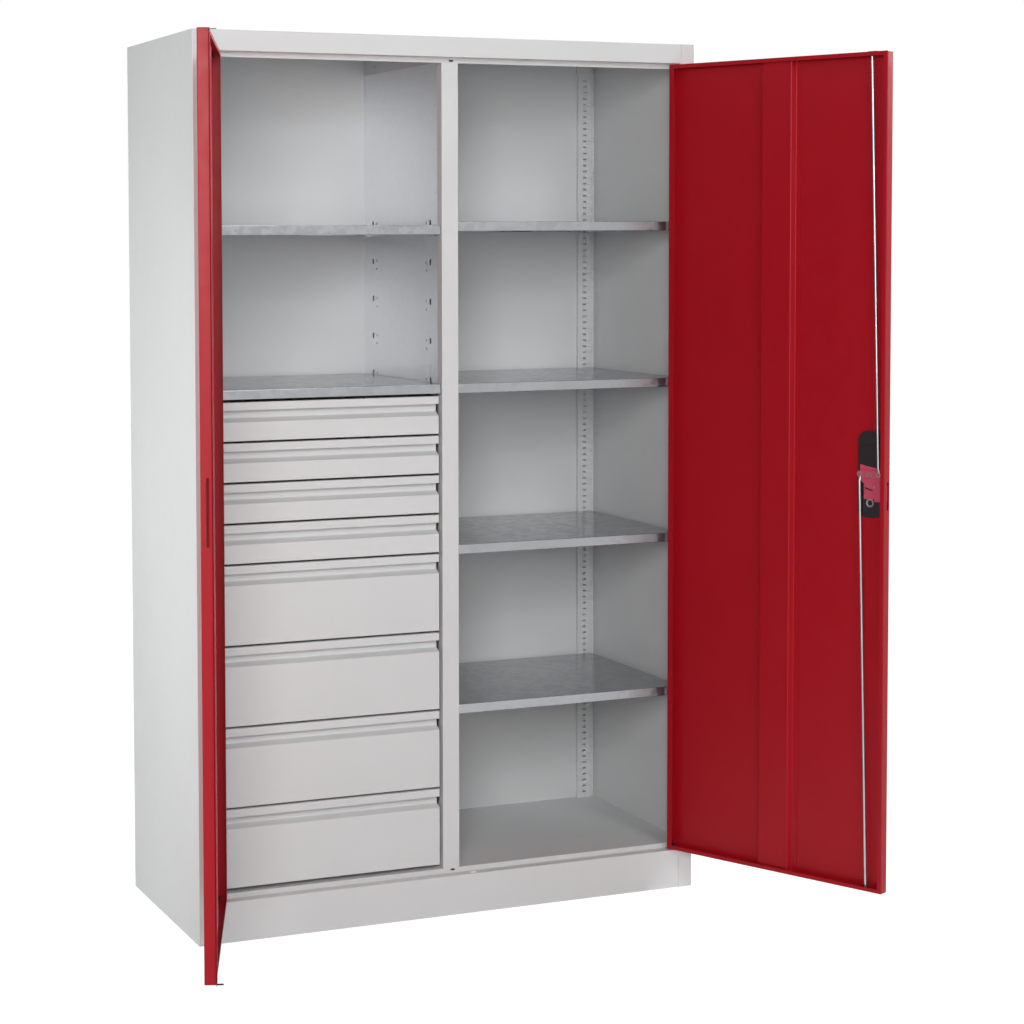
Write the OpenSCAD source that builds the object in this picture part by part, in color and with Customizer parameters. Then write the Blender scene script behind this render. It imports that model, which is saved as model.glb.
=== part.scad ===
/* [Cabinet] */
// Overall width, across the side panels
cabinet_w = 1200; // [1150:10:1300]
// Overall depth, from the front frame to the back flanges
cabinet_d = 500; // [490:10:600]
// Overall height
cabinet_h = 1950; // [1940:10:2050]
// Thickness of the carcass sheet
carcass_t = 1; // [0.8:0.1:1.2]
// Width of each front stile, seen from the front
stile_w = 35; // [30:1:40]
// Height of the front rail under the top
rail_h = 44; // [40:1:60]
// Height of the plinth
plinth_h = 89; // [80:1:95]
// Depth of the recess in the front frame that takes the doors
frame_recess = 25; // [25:0.5:28]
// Height of the stop lips at the top and bottom of the doors
lip_h = 11; // [10:1:14]
// Width of the flanges along the back edge of the side panels
back_flange = 22; // [18:1:30]
// Distance between the two wall anchor holes in the back panel
anchor_span = 800; // [600:10:900]
// Radius of a wall anchor hole
anchor_r = 4; // [3:0.5:5]
// Distance from the top down to the wall anchor holes
anchor_drop = 12; // [12:1:120]
// Width of the channel that stands under the centre post
support_w = 60; // [50:2:80]

/* [Centre post and partition] */
// Width of the centre post
post_w = 40; // [39:1:44]
// Depth of the centre post
post_d = 25; // [20:1:30]
// Distance between the outer faces of the two partition sheets
partition_w = 35; // [32:0.5:36]
// Height of the painted bracket above the partition
bracket_h = 51; // [40:1:60]
// Thickness of the galvanised sheet
zinc_t = 1; // [0.8:0.1:1.2]
// Width of the slots in the partition
panel_slot_w = 9; // [6:0.5:10]
// Height of the slots in the partition
panel_slot_h = 12; // [8:1:14]

/* [Shelves] */
// Height of the top face of the lowest shelf in the right bay
shelf_first_z = 467; // [460:1:470]
// Step from one shelf of the right bay to the next
shelf_step = 360; // [345:15:360]
// Number of shelves in the right bay
shelf_count = 4; // [2:1:4]
// Height of the front and back edges of a shelf
shelf_edge = 21; // [16:1:22]
// Distance from the front frame to the front edge of the shelves
shelf_setback = 31; // [31:1:40]
// Width of a slot in the uprights
slot_w = 9; // [8:0.5:10]
// Height of a slot in the uprights
slot_h = 4.4; // [4:0.2:5]
// Width of the uprights
upright_w = 36; // [30:1:40]
// How far the uprights stand off the panel behind them
upright_off = 10; // [8:1:12]
// Distance from the side panel to the slots of the rear upright
upright_slot_in = 30; // [28:1:32]
// Clearance at the ends of a shelf
shelf_gap = 1; // [0.5:0.5:2]

/* [Doors] */
// Thickness of a door, from the outer skin to the inner lips
door_t = 23; // [20:0.5:23]
// Thickness of the door sheet
door_sheet = 1; // [0.8:0.1:1]
// Gap between a door and its stile
door_gap_side = 2; // [2:0.5:3]
// Gap between the two closed doors
door_gap_mid = 2; // [2:0.5:4]
// Gap above a door
door_gap_top = 3; // [3:0.5:5]
// Gap below a door
door_gap_low = 4; // [3:0.5:5]
// Width of the inner lip on the hinge side
hinge_lip = 14; // [12:1:18]
// Width of the inner lip on the free side
free_lip = 10; // [8:1:12]
// Width of the inner lips at the top and bottom
end_lip = 9; // [8:1:12]
// How far the closing strip of the left door stands out past its free edge
strip_out = 7.5; // [6:0.5:7.5]
// Angle of the left door in the stored pose, from closed
left_open = 110.2; // [90:0.1:119]
// Angle of the right door in the stored pose, from closed
right_open = 115.5; // [90:0.1:119]
// Distance from the hinge side edge of a door to its pivot
pivot_in = 7.5; // [7:0.5:8]
// Distance from the outer skin of a door to its pivot
pivot_back = 4.5; // [4.4:0.1:4.7]
// Radius of a pivot pin
pivot_r = 2.5; // [2.3:0.1:2.5]
// Running clearance between a pivot pin and its bush, on the radius
pivot_clear = 0.05; // [0.03:0.01:0.1]
// Wall of a pivot bush
bush_wall = 0.8; // [0.6:0.1:0.8]
// Length of a pivot bush inside the door
bush_len = 12; // [8:1:20]
// Distance from the hinge side edge to the hat stiffener
hat_in = 226; // [180:2:240]
// Width of the flat of the hat stiffener
hat_top_w = 75; // [60:1:90]
// Height of the hat stiffener above the skin
hat_h = 13; // [9:0.5:14]
// Width of each flange of the hat stiffener
hat_flange = 12; // [10:1:15]
// Width of each sloping side of the hat stiffener
hat_slope = 6; // [4:1:10]

/* [Lock] */
// Distance from the free edge of the right door to the lock spindle
spindle_edge = 44; // [44:1:60]
// Height of the lock spindle above the floor
spindle_z = 999; // [950:1:1050]
// Depth of the rod axes behind the outer skin
rod_depth = 11.7; // [11.5:0.1:12]
// Radius of the locking rods
rod_r = 3; // [2.6:0.1:3.4]
// Distance from the spindle to each cam pin
cam_throw = 23; // [20:1:25]
// Width of the lock tray
tray_w = 60; // [56:1:62]
// Height of the lock tray
tray_h = 187; // [175:1:195]
// Corner radius of the lock tray
tray_r = 22; // [15:1:26]
// Wall of the lock tray
tray_wall = 1.5; // [1.2:0.1:1.8]
// Depth of the lock tray behind the outer skin
tray_depth = 6.5; // [6:0.1:6.6]
// Width of the rim of the lock tray on the door
rim_w = 3; // [2:0.5:5]
// Thickness of that rim
rim_t = 2.5; // [1.5:0.5:3]
// Side of the square spindle
spindle_sq = 8; // [7:0.5:9]
// Length of the turn handle
handle_l = 70; // [60:1:86]
// Width of the turn handle
handle_w = 22; // [20:1:24]
// Thickness of the turn handle
handle_t = 10; // [8:1:14]
// Distance from the spindle down to the key cylinder
cylinder_drop = 62; // [60:1:66]
// Radius of the key cylinder
cylinder_r = 9; // [8:0.5:10]
// Running clearance round the key cylinder
cylinder_clear = 0.08; // [0.05:0.01:0.1]
// Height of the centre latch bolt
bolt_h = 38; // [30:1:44]
// Height of the slot for that bolt in the edge of the right door
bolt_slot_h = 60; // [54:1:66]
// Thickness of the centre latch bolt
bolt_t = 2; // [1.5:0.5:2]
// Height of the latch slot in the edge of the left door
latch_slot_h = 132; // [110:1:140]

/* [Drawers] */
// Width of a drawer
drawer_w = 500; // [440:1:540]
// Depth of a drawer box
drawer_d = 456; // [400:1:456]
// Height of a single drawer space
drawer_pitch = 88; // [80:1:92]
// Gap between one drawer front and the next
drawer_gap = 5; // [4:0.5:7]
// Distance from the floor pan up to the space of the lowest drawer
stack_base = 9; // [6:1:12]
// Distance from the front frame to the drawer fronts
drawer_setback = 28; // [27:1:30]
// Side clearance between a drawer and the panels that carry it
drawer_side = 10.5; // [10:0.1:12]
// Distance from the left side panel to the panel that carries the drawers
mount_space = 60.5; // [40:0.5:70]
// Thickness of the drawer sheet
drawer_t = 1; // [0.8:0.1:1.2]
// Height of the grip lip of a drawer front
grip_h = 17; // [14:1:20]
// Height of the groove under the grip lip
groove_h = 26; // [22:1:30]
// Depth of the groove under the grip lip
groove_d = 16; // [12:1:18]
// Height of a fixed drawer rail
fixed_rail_h = 14; // [12:1:18]
// Height of the trough insert in the seventh drawer
insert_h = 70; // [50:1:100]
// Width of the rear row of troughs in that insert
trough_d = 58; // [50:1:70]
// Width of the gap in front of the rear row
land_d = 29; // [20:1:35]
// Number of troughs side by side in each row
trough_count = 5; // [3:1:5]

/* [Hidden] */
$fn = 48;

painted = [0.78, 0.79, 0.78];
zinc = [0.62, 0.65, 0.68];
steel = [0.75, 0.76, 0.78];
door_red = [0.62, 0.05, 0.08];
black = [0.06, 0.06, 0.07];
lock_red = [0.7, 0.2, 0.28];

front_y = -cabinet_d / 2;
back_y = cabinet_d / 2;
half_w = cabinet_w / 2;
in_x = half_w - carcass_t;
jamb_x = half_w - stile_w;
lip_y = front_y + frame_recess;
rail_z = cabinet_h - rail_h;
floor_z = plinth_h + lip_h;
back_in = back_y - 2 * carcass_t;
ceiling_z = cabinet_h - carcass_t;
post_y = lip_y + carcass_t;

part_x = partition_w / 2;
post_x = mount_space + 2 * drawer_side + drawer_w + part_x - in_x;
panel_top = ceiling_z - bracket_h;
panel_y = post_y + carcass_t;
panel_lip = 15;
support_t = 1.5;
mount_x = mount_space - in_x;
drawer_left = mount_x + drawer_side;
drawer_right = drawer_left + drawer_w;
part_left = post_x - part_x;
part_right = post_x + part_x;

shelf_y = front_y + shelf_setback;
upright_x = in_x - upright_slot_in;
upright_face = back_in - upright_off;
shelf_back = upright_face - shelf_gap;
side_face = in_x - upright_off;
shelf_x0 = post_x + post_w / 2 + shelf_gap;
shelf_x1 = side_face - shelf_gap;
slot_pitch = 15;
clip_slack = 0.5;
left_shelf_x1 = post_x - post_w / 2 - shelf_gap;
clip_w = slot_w - 2 * clip_slack;
clip_t = 3;
clip_reach = 16;
clip_bite = 2;
shelf_fold = 10;
stack_clear = 1.5;
units = [1, 1, 1, 1, 2, 2, 2, 2];
stack_units = 12;
stack_top = floor_z + stack_base + stack_units * drawer_pitch;
low_left_z = stack_top + shelf_edge + stack_clear;
high_left_z = low_left_z + 4 * drawer_pitch;
cut_in_front = 97;
cut_in_back = 60;
panel_cut_y = [front_y + cut_in_front, back_y - cut_in_back];
cut_dot_side = 22;
cut_dot_rise = 1;
cut_dot_step = 19;
cut_dot_r = 2.7;
dot_in = 68;
dot_step = 96;
dot_rise = 73;
dot_r = 2;
slots_in_front = 62;
slots_in_back = 40;
side_slot_y = front_y + slots_in_front;
slot_columns = [side_slot_y, back_y - slots_in_back];
bracket_hole_back = 57;
bracket_hole_step = 14;
bracket_hole_drop = 34;
bracket_hole_r = 2.5;

door_w = jamb_x - door_gap_side - door_gap_mid / 2;
door_z0 = plinth_h + door_gap_low;
door_z1 = rail_z - door_gap_top;
pivot_x = jamb_x - door_gap_side - pivot_in;
pivot_y = front_y + pivot_back;
bore_r = pivot_r + pivot_clear;
bush_r = bore_r + bush_wall;
bush_fit = 0.05;
collar_gap = 0.3;
rivet_over = 0.7;
rivet_t = 2.5;

spindle_in = door_w - spindle_edge;
tray_back = tray_depth - tray_wall;
plate_t = 1.2;
cam_gap = 0.5;
cam_t0 = tray_depth + plate_t + cam_gap;
cam_t = 2;
cam_end_r = 8;
pin_r = 2.5;
eye_t = 2.4;
eye_gap = 0.3;
eye_t0 = cam_t0 + cam_t + eye_gap;
pin_over = 1.6;
pin_end = eye_t0 + eye_t + pin_over;
eye_clear = 0.05;
spindle_back = 3.5;
spindle_end = cam_t0 + cam_t + spindle_back;
rim_clear = 1.5;
handle_face = -rim_t - rim_clear;
socket_depth = 4;
hub_r = 13;
hub_gap = 0.5;
rod_neck = 14;
guide_t = 4;
slot_slack = 5;
rod_rest_in = 2;
guide_w = 30;
guide_d = 15;
bolt_depth = 9.5;
bolt_len = 30;
bolt_back = 0.5;
bolt_drop = 45;
bolt_rise = 6;
bolt_z = spindle_z - bolt_drop + bolt_rise;
plate_shape = [[-24, 21], [26, 12], [28, -50], [20, -42], [12, -54], [-14, -54], [-14, -20], [-24, -14]];
bolt_slot_t0 = 4.5;
bolt_clear = 0.3;
key_w = 1.5;
key_h = 9;
latch_slot_w = 8;
latch_slot_depth = 9;
latch_slot_z = spindle_z - 3;
strip_t = 1.5;
strip_gap = 1;
catch_t = 1.5;
catch_h = 6;
tongue_reach = 14;
tongue_w = strip_out - 0.5;
tongue_in = door_w + tongue_w / 2;
tongue_t = 1.2;
tongue_z = [door_z0 + catch_h / 2, door_z1 - catch_h / 2];
lip_slot_slack = 1.5;

function units_above(k) = k == 0 ? 0 : units[k - 1] + units_above(k - 1);
function space_top(k) = stack_top - drawer_pitch * units_above(k);
function front_z(k) = space_top(k) - drawer_pitch * units[k] + 1;
function front_h(k) = drawer_pitch * units[k] - drawer_gap;
function side_h(k) = front_h(k) - grip_h - groove_h;
drawer_y = front_y + drawer_setback;
box_y0 = drawer_y + drawer_t;
box_y1 = box_y0 + drawer_d;
rail_clear = 0.5;
runner_clear = 1;
runner_w = drawer_side + part_x - post_w / 2 - runner_clear;
rail_y0 = post_y + post_d + runner_clear;
rail_y1 = box_y1 - runner_w / 2;
flange_z_gap = 0.5;
insert_k = 6;
groove_slope = 9;
insert_gap = 1;
divider_drop = 3;
shelf_slots = floor((ceiling_z - floor_z - 40) / slot_pitch);
slot_base = shelf_first_z - shelf_edge - clip_t / 2
  - slot_pitch * floor((shelf_first_z - shelf_edge - floor_z - 10) / slot_pitch);

// A block between two corners
module block(x0, x1, y0, y1, z0, z1)
  translate([x0, y0, z0]) cube([x1 - x0, y1 - y0, z1 - z0]);

// A rectangle with round corners, centred
module round_rect(w, h, r) {
  square([w - 2 * r, h], center = true);
  square([w, h - 2 * r], center = true);
  for (sx = [-1, 1], sy = [-1, 1])
    translate([sx * (w / 2 - r), sy * (h / 2 - r)]) circle(r);
}

// An oblong with round ends, centred, longest along its first axis
module oblong(l, w) {
  square([l - w, w], center = true);
  for (s = [-1, 1]) translate([s * (l - w) / 2, 0]) circle(w / 2);
}

// A plate in the plane of the front, from depth y0 to y1, drawn in x and z
module standing(y0, y1) translate([0, y1, 0]) rotate([90, 0, 0]) linear_extrude(y1 - y0) children();

// Folded side panel with front stile, jamb flange and back flange, on the right
module side_panel() color(painted) {
  block(in_x, half_w, front_y, back_y, 0, cabinet_h);
  block(jamb_x, in_x, front_y, front_y + carcass_t, 0, cabinet_h);
  block(jamb_x, jamb_x + carcass_t, front_y + carcass_t, lip_y, 0, ceiling_z);
  block(half_w - back_flange, in_x, back_y - carcass_t, back_y, 0, ceiling_z);
  block(in_x - back_flange, in_x, lip_y, back_in, 0, carcass_t);
}

module right_side_panel() side_panel();

module left_side_panel() mirror([1, 0, 0]) side_panel();

module back_panel() color(painted)
  difference() {
    block(-in_x, in_x, back_in, back_in + carcass_t, 0, ceiling_z);
    for (s = [-1, 1])
      translate([s * anchor_span / 2, back_in + 2 * carcass_t, cabinet_h - anchor_drop])
        rotate([90, 0, 0]) cylinder(h = 3 * carcass_t, r = anchor_r);
  }

// Slots through which the locking rods and the pivot pins pass
module frame_holes(z, slack_side) {
  rod_x = jamb_x - door_gap_side - spindle_in;
  translate([rod_x + slack_side * slot_slack / 2, front_y + rod_depth, z])
    linear_extrude(3 * carcass_t, center = true)
      oblong(2 * rod_r + slot_slack + 4, 2 * rod_r + 3);
  for (s = [-1, 1])
    translate([s * pivot_x, pivot_y, z])
      cylinder(h = 3 * carcass_t, r = bore_r, center = true);
}

// Slot for a catch tongue of the left door, through a stop lip and what stands behind it
module lip_slot(z) {
  x = tongue_in - jamb_x + door_gap_side;
  block(x - tongue_w / 2 - lip_slot_slack, x + tongue_w / 2 + lip_slot_slack,
    lip_y - carcass_t, lip_y + tongue_reach, z - tongue_t / 2 - lip_slot_slack,
    z + tongue_t / 2 + lip_slot_slack);
}

module top_panel() color(painted)
  difference() {
    union() {
      block(-jamb_x, jamb_x, front_y, back_y, ceiling_z, cabinet_h);
      for (s = [0, 1]) mirror([s, 0, 0])
        block(jamb_x, in_x, front_y + carcass_t, back_y, ceiling_z, cabinet_h);
      block(-jamb_x, jamb_x, front_y, front_y + carcass_t, rail_z, ceiling_z);
      block(-jamb_x, jamb_x, front_y, lip_y + carcass_t, rail_z, rail_z + carcass_t);
      block(-jamb_x, jamb_x, lip_y, lip_y + carcass_t, rail_z - lip_h, rail_z);
    }
    frame_holes(rail_z, -1);
    lip_slot(tongue_z[1]);
  }

module floor_pan() color(painted)
  difference() {
    union() {
      block(-in_x, in_x, lip_y, back_in, floor_z - carcass_t, floor_z);
      block(-jamb_x, jamb_x, lip_y, lip_y + carcass_t, plinth_h, floor_z);
    }
    lip_slot(tongue_z[0]);
  }

module plinth() color(painted)
  difference() {
    union() {
      block(-jamb_x, jamb_x, front_y, front_y + carcass_t, 0, plinth_h);
      block(-jamb_x, jamb_x, front_y, lip_y + carcass_t, plinth_h - carcass_t, plinth_h);
      block(-jamb_x, jamb_x, front_y, lip_y, 0, carcass_t);
    }
    frame_holes(plinth_h, 1);
  }

module support_channel() color(painted)
  difference() {
    block(post_x - support_w / 2, post_x + support_w / 2, lip_y + carcass_t, back_in, 0, floor_z - carcass_t);
    block(post_x - support_w / 2 + support_t, post_x + support_w / 2 - support_t, front_y, back_y,
      support_t, floor_z - carcass_t - support_t);
  }

module centre_post() color(painted)
  difference() {
    block(post_x - post_w / 2, post_x + post_w / 2, post_y, post_y + post_d, floor_z, ceiling_z);
    block(post_x - post_w / 2 + carcass_t, post_x + post_w / 2 - carcass_t, post_y + carcass_t,
      post_y + 2 * post_d, floor_z - 1, ceiling_z + 1);
    lip_slot(tongue_z[1]);
  }

// A round hole along x
module side_hole(depth, r) rotate([0, 90, 0]) cylinder(h = depth, r = r);

// One slot in a partition sheet, with two small holes beside it on the side given by the sign
module panel_cut(y, z, sign) {
  translate([0, y - panel_slot_w / 2, z - panel_slot_h / 2]) cube([4 * zinc_t, panel_slot_w, panel_slot_h]);
  for (i = [0, 1]) translate([0, y + sign * cut_dot_side, z + cut_dot_rise - i * cut_dot_step])
    side_hole(4 * zinc_t, cut_dot_r);
}

// A folded galvanised sheet that faces left at x = 0, with flanges on its far side
module zinc_sheet(z1) {
  block(0, zinc_t, panel_y, back_in, floor_z, z1);
  block(zinc_t, panel_lip, panel_y, panel_y + zinc_t, floor_z, z1);
  block(zinc_t, panel_lip, back_in - zinc_t, back_in, floor_z, z1);
}

// The cuts that the drawer side of a panel carries
module drawer_side_cuts(z1) {
  for (z = [low_left_z + shelf_fold / 2 : drawer_pitch : high_left_z + shelf_fold], i = [0, 1])
    translate([-2 * zinc_t, 0, 0]) panel_cut(panel_cut_y[i], z, 1 - 2 * i);
  for (z = [high_left_z + dot_rise : dot_step : z1 - 3 * shelf_edge])
    translate([-2 * zinc_t, front_y + dot_in, z]) side_hole(4 * zinc_t, dot_r);
}

// Holes for the clips under the left shelves
module clip_holes(sheet_x) {
  for (z = [low_left_z, high_left_z], y = slot_columns)
    translate([sheet_x, y, z - shelf_edge - clip_t / 2])
      cube([6 * zinc_t, slot_w, slot_h], center = true);
}

module partition_left_sheet() color(zinc)
  difference() {
    translate([part_left, 0, 0]) zinc_sheet(panel_top);
    translate([part_left, 0, 0]) drawer_side_cuts(panel_top);
    clip_holes(part_left);
  }

module mounting_panel() color(zinc)
  difference() {
    translate([mount_x, 0, 0]) mirror([1, 0, 0]) zinc_sheet(panel_top);
    translate([mount_x, 0, 0]) mirror([1, 0, 0]) drawer_side_cuts(panel_top);
    clip_holes(mount_x);
  }

// Rows of slots that take the shelf clips, drawn in plan with height as the second axis
module slot_column(w)
  for (i = [0 : shelf_slots - 1])
    translate([0, slot_base + i * slot_pitch]) square([w, slot_h], center = true);

module partition_right_sheet() color(zinc)
  difference() {
    translate([part_right, 0, 0]) mirror([1, 0, 0]) zinc_sheet(panel_top);
    for (y = slot_columns)
      translate([part_right - 2 * zinc_t, y, 0]) rotate([90, 0, 90])
        linear_extrude(4 * zinc_t) intersection() {
          slot_column(slot_w);
          translate([-slot_w, floor_z + 5]) square([2 * slot_w, panel_top - floor_z - 10]);
        }
  }

module partition_bracket() color(painted)
  difference() {
    block(part_left, part_right, panel_y, back_in, panel_top, ceiling_z);
    block(part_left + carcass_t, part_right - carcass_t, front_y, back_y, panel_top - 1,
      ceiling_z - carcass_t);
    for (i = [0, 1])
      translate([part_left - carcass_t, back_y - bracket_hole_back - i * bracket_hole_step,
        ceiling_z - bracket_hole_drop]) side_hole(3 * carcass_t, bracket_hole_r);
  }

// Slotted upright on the back panel, with a flange back to the panel on each side
module rear_upright() color(painted)
  difference() {
    union() {
      block(upright_x - upright_w / 2, upright_x + upright_w / 2, upright_face, upright_face + carcass_t,
        floor_z, ceiling_z);
      for (s = [-1, 1])
        translate([upright_x + s * (upright_w - carcass_t) / 2 - carcass_t / 2, 0, 0])
          block(0, carcass_t, upright_face + carcass_t, back_in, floor_z, ceiling_z);
    }
    translate([upright_x, 0, 0]) standing(upright_face - 1, upright_face + 2 * carcass_t)
      slot_column(slot_w);
  }

// Slotted upright on the right side panel, behind the stile
module front_upright() color(painted)
  difference() {
    union() {
      block(side_face, side_face + carcass_t, side_slot_y - upright_w / 2, side_slot_y + upright_w / 2,
        floor_z, ceiling_z);
      for (s = [-1, 1])
        translate([0, side_slot_y + s * (upright_w - carcass_t) / 2 - carcass_t / 2, 0])
          block(side_face + carcass_t, in_x, 0, carcass_t, floor_z, ceiling_z);
    }
    translate([side_face - 1, side_slot_y, 0]) rotate([90, 0, 90])
      linear_extrude(2 * carcass_t + 1) slot_column(slot_w);
  }

// A folded shelf whose top face is at z
module shelf(x0, x1, z, y1) color(zinc)
  difference() {
    block(x0, x1, shelf_y, y1, z - shelf_edge, z);
    block(x0 + zinc_t, x1 - zinc_t, shelf_y + zinc_t, y1 - zinc_t, z - shelf_edge - 1, z - zinc_t);
  }

// The front edge of a shelf turns back under it
module shelf_return(x0, x1, z) color(zinc)
  block(x0 + zinc_t, x1 - zinc_t, shelf_y + zinc_t, shelf_y + shelf_fold, z - shelf_edge,
    z - shelf_edge + zinc_t);

module full_shelf(x0, x1, z, y1) {
  shelf(x0, x1, z, y1);
  shelf_return(x0, x1, z);
}

module left_shelf_low() full_shelf(mount_x + shelf_gap, left_shelf_x1, low_left_z, shelf_back);

module left_shelf_high() full_shelf(mount_x + shelf_gap, left_shelf_x1, high_left_z, shelf_back);

module right_shelf(n)
  if (n <= shelf_count)
    full_shelf(shelf_x0, shelf_x1, shelf_first_z + (n - 1) * shelf_step, shelf_back);

// A clip through a slot, under the edge of a shelf, pointing along +x from its panel at x = 0
module clip(edge_z) color(steel)
  block(-clip_bite - zinc_t, clip_reach, -clip_w / 2, clip_w / 2, edge_z - clip_t, edge_z);

module shelf_clips() {
  for (n = [1 : shelf_count]) {
    edge_z = shelf_first_z + (n - 1) * shelf_step - shelf_edge;
    for (y = slot_columns) translate([part_right, y, 0]) clip(edge_z);
    translate([side_face, side_slot_y, 0]) mirror([1, 0, 0]) clip(edge_z);
    translate([upright_x, upright_face, 0]) rotate([0, 0, -90]) clip(edge_z);
  }
  for (z = [low_left_z, high_left_z], y = slot_columns) {
    translate([part_left, y, 0]) mirror([1, 0, 0]) clip(z - shelf_edge);
    translate([mount_x, y, 0]) clip(z - shelf_edge);
  }
}

// A fixed rail, a channel open towards the drawer, on a panel at x = 0, facing +x
module fixed_rail(flange_z) color(zinc) {
  reach = drawer_side - rail_clear;
  lip = drawer_t + flange_z_gap;
  block(0, zinc_t, rail_y0, rail_y1, flange_z - fixed_rail_h / 2, flange_z + fixed_rail_h / 2);
  block(zinc_t, reach, rail_y0, rail_y1, flange_z - lip - zinc_t, flange_z - lip);
  block(zinc_t, reach, rail_y0, rail_y1, flange_z + flange_z_gap, flange_z + flange_z_gap + zinc_t);
}

module drawer_rails() for (k = [0 : 7]) {
  flange_z = front_z(k) + side_h(k);
  translate([mount_x, 0, 0]) fixed_rail(flange_z);
  translate([part_left, 0, 0]) mirror([1, 0, 0]) fixed_rail(flange_z);
}

// Pivot pins, riveted through the ledge and through the underside of the front rail
module pivot_pins() color(steel) for (s = [-1, 1]) translate([s * pivot_x, pivot_y, 0]) {
  translate([0, 0, rail_z - door_gap_top - bush_len]) cylinder(h = door_gap_top + bush_len + carcass_t,
    r = pivot_r);
  translate([0, 0, rail_z + carcass_t]) cylinder(h = rivet_t, r = pivot_r + rivet_over);
  translate([0, 0, plinth_h - carcass_t]) cylinder(h = door_gap_low + bush_len + carcass_t, r = pivot_r);
  translate([0, 0, plinth_h - carcass_t - rivet_t]) cylinder(h = rivet_t, r = pivot_r + rivet_over);
}

// Puts a door, drawn with its hinge edge at x = 0 and its skin at y = 0, where it hangs
module hang(open) translate([pivot_x, pivot_y, 0]) rotate([0, 0, open])
  translate([pivot_in, -pivot_back, 0]) mirror([1, 0, 0]) children();

module right_hang() hang(right_open) children();

module left_hang() mirror([1, 0, 0]) hang(left_open) children();

// The folded tray of a door, with holes for its bushes
module door_shell() color(door_red)
  difference() {
    block(0, door_w, 0, door_t, door_z0, door_z1);
    block(door_sheet, door_w - door_sheet, door_sheet, door_t - door_sheet, door_z0 + door_sheet,
      door_z1 - door_sheet);
    block(hinge_lip, door_w - free_lip, door_sheet, door_t + 1, door_z0 + end_lip, door_z1 - end_lip);
    for (z = [door_z0, door_z1])
      translate([pivot_in, pivot_back, z]) cylinder(h = 4 * door_sheet, r = bush_r + bush_fit, center = true);
  }

module door_bushes() color(black) {
  top = rail_z - collar_gap;
  low = plinth_h + collar_gap;
  translate([pivot_in, pivot_back, 0]) difference() {
    union() {
      translate([0, 0, door_z1 - bush_len]) cylinder(h = top - door_z1 + bush_len, r = bush_r);
      translate([0, 0, low]) cylinder(h = door_z0 + bush_len - low, r = bush_r);
    }
    cylinder(h = cabinet_h, r = bore_r);
  }
}

// The hat profile, welded to the skin
module door_stiffener() color(door_red) {
  s = door_sheet;
  a = hat_flange;
  b = a + hat_slope;
  c = b + hat_top_w;
  d = c + hat_slope;
  e = d + hat_flange;
  translate([hat_in, door_sheet, door_z0 + door_sheet])
    linear_extrude(door_z1 - door_z0 - 2 * door_sheet)
      polygon([[0, 0], [a + s, 0], [b + s, hat_h - s], [c - s, hat_h - s], [d - s, 0], [e, 0], [e, s],
        [d, s], [c, hat_h], [b, hat_h], [a, s], [0, s]]);
}

module right_door_shell() right_hang() color(door_red)
  difference() {
    door_shell();
    translate([spindle_in, 0, spindle_z]) standing(-1, door_sheet + 1)
      round_rect(tray_w + 0.6, tray_h + 0.6, tray_r + 0.3);
    translate([door_w - 2 * door_sheet, bolt_slot_t0, spindle_z - bolt_drop - bolt_slot_h / 2])
      cube([4 * door_sheet, bolt_depth + bolt_t + bolt_clear - bolt_slot_t0, bolt_slot_h]);
    for (e = [[door_z1, 1], [door_z0, -1]])
      translate([spindle_in + e[1] * slot_slack / 2, rod_depth, e[0]])
        linear_extrude(4 * door_sheet, center = true)
          oblong(guide_w - 4, 2 * rod_r + 4);
  }

module right_door_stiffener() right_hang() door_stiffener();

module right_door_bushes() right_hang() door_bushes();

module left_door_shell() left_hang() color(door_red) difference() {
  door_shell();
  translate([door_w - 2 * door_sheet, latch_slot_depth, latch_slot_z - latch_slot_h / 2])
    cube([4 * door_sheet, latch_slot_w, latch_slot_h]);
}

module left_door_stiffener() left_hang() door_stiffener();

module left_door_bushes() left_hang() door_bushes();

// Strip on the free lip of the left door, stepped so that the right door closes over it
module closing_strip() left_hang() color(door_red) {
  z0 = floor_z + strip_gap;
  z1 = rail_z - lip_h - strip_gap;
  block(door_w - free_lip, door_w, door_t, door_t + door_sheet, z0, z1);
  block(door_w - door_sheet, door_w + strip_out, door_t + door_sheet, door_t + door_sheet + strip_t, z0, z1);
}

// Black blocks on the inner lips, at the ends of that strip
module left_door_catches() left_hang() color(black) for (z = [door_z0, door_z1 - catch_h])
  block(door_w - free_lip, door_w + strip_out, door_t, door_t + catch_t, z, z + catch_h);

// Thin steel tongues that snap through the slots in the stop lips
module left_catch_tongues() left_hang() color(black) for (z = tongue_z)
  block(tongue_in - tongue_w / 2, tongue_in + tongue_w / 2, door_t + catch_t, door_t + tongue_reach,
    z - tongue_t / 2, z + tongue_t / 2);

// Moves to the lock spindle, with x across the door, y into it and z up
module at_spindle() right_hang() translate([spindle_in, 0, spindle_z]) children();

// Round holes in the tray and the plate, for the spindle and the key cylinder
module lock_holes() {
  circle(spindle_sq * 0.75);
  translate([0, -cylinder_drop]) circle(cylinder_r + cylinder_clear);
}

module lock_tray() at_spindle() color(black) {
  difference() {
    union() {
      standing(-rim_t, 0) round_rect(tray_w + 2 * rim_w, tray_h + 2 * rim_w, tray_r + rim_w);
      standing(-rim_t, tray_depth) round_rect(tray_w, tray_h, tray_r);
    }
    standing(-rim_t - 1, tray_back)
      round_rect(tray_w - 2 * tray_wall, tray_h - 2 * tray_wall, tray_r - tray_wall);
    standing(0, tray_depth + 1) lock_holes();
  }
}

// Red plate behind the tray, with a slanted top edge
module lock_plate() at_spindle() color(lock_red)
  standing(tray_depth, tray_depth + plate_t) difference() {
    polygon(plate_shape);
    lock_holes();
  }

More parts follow.
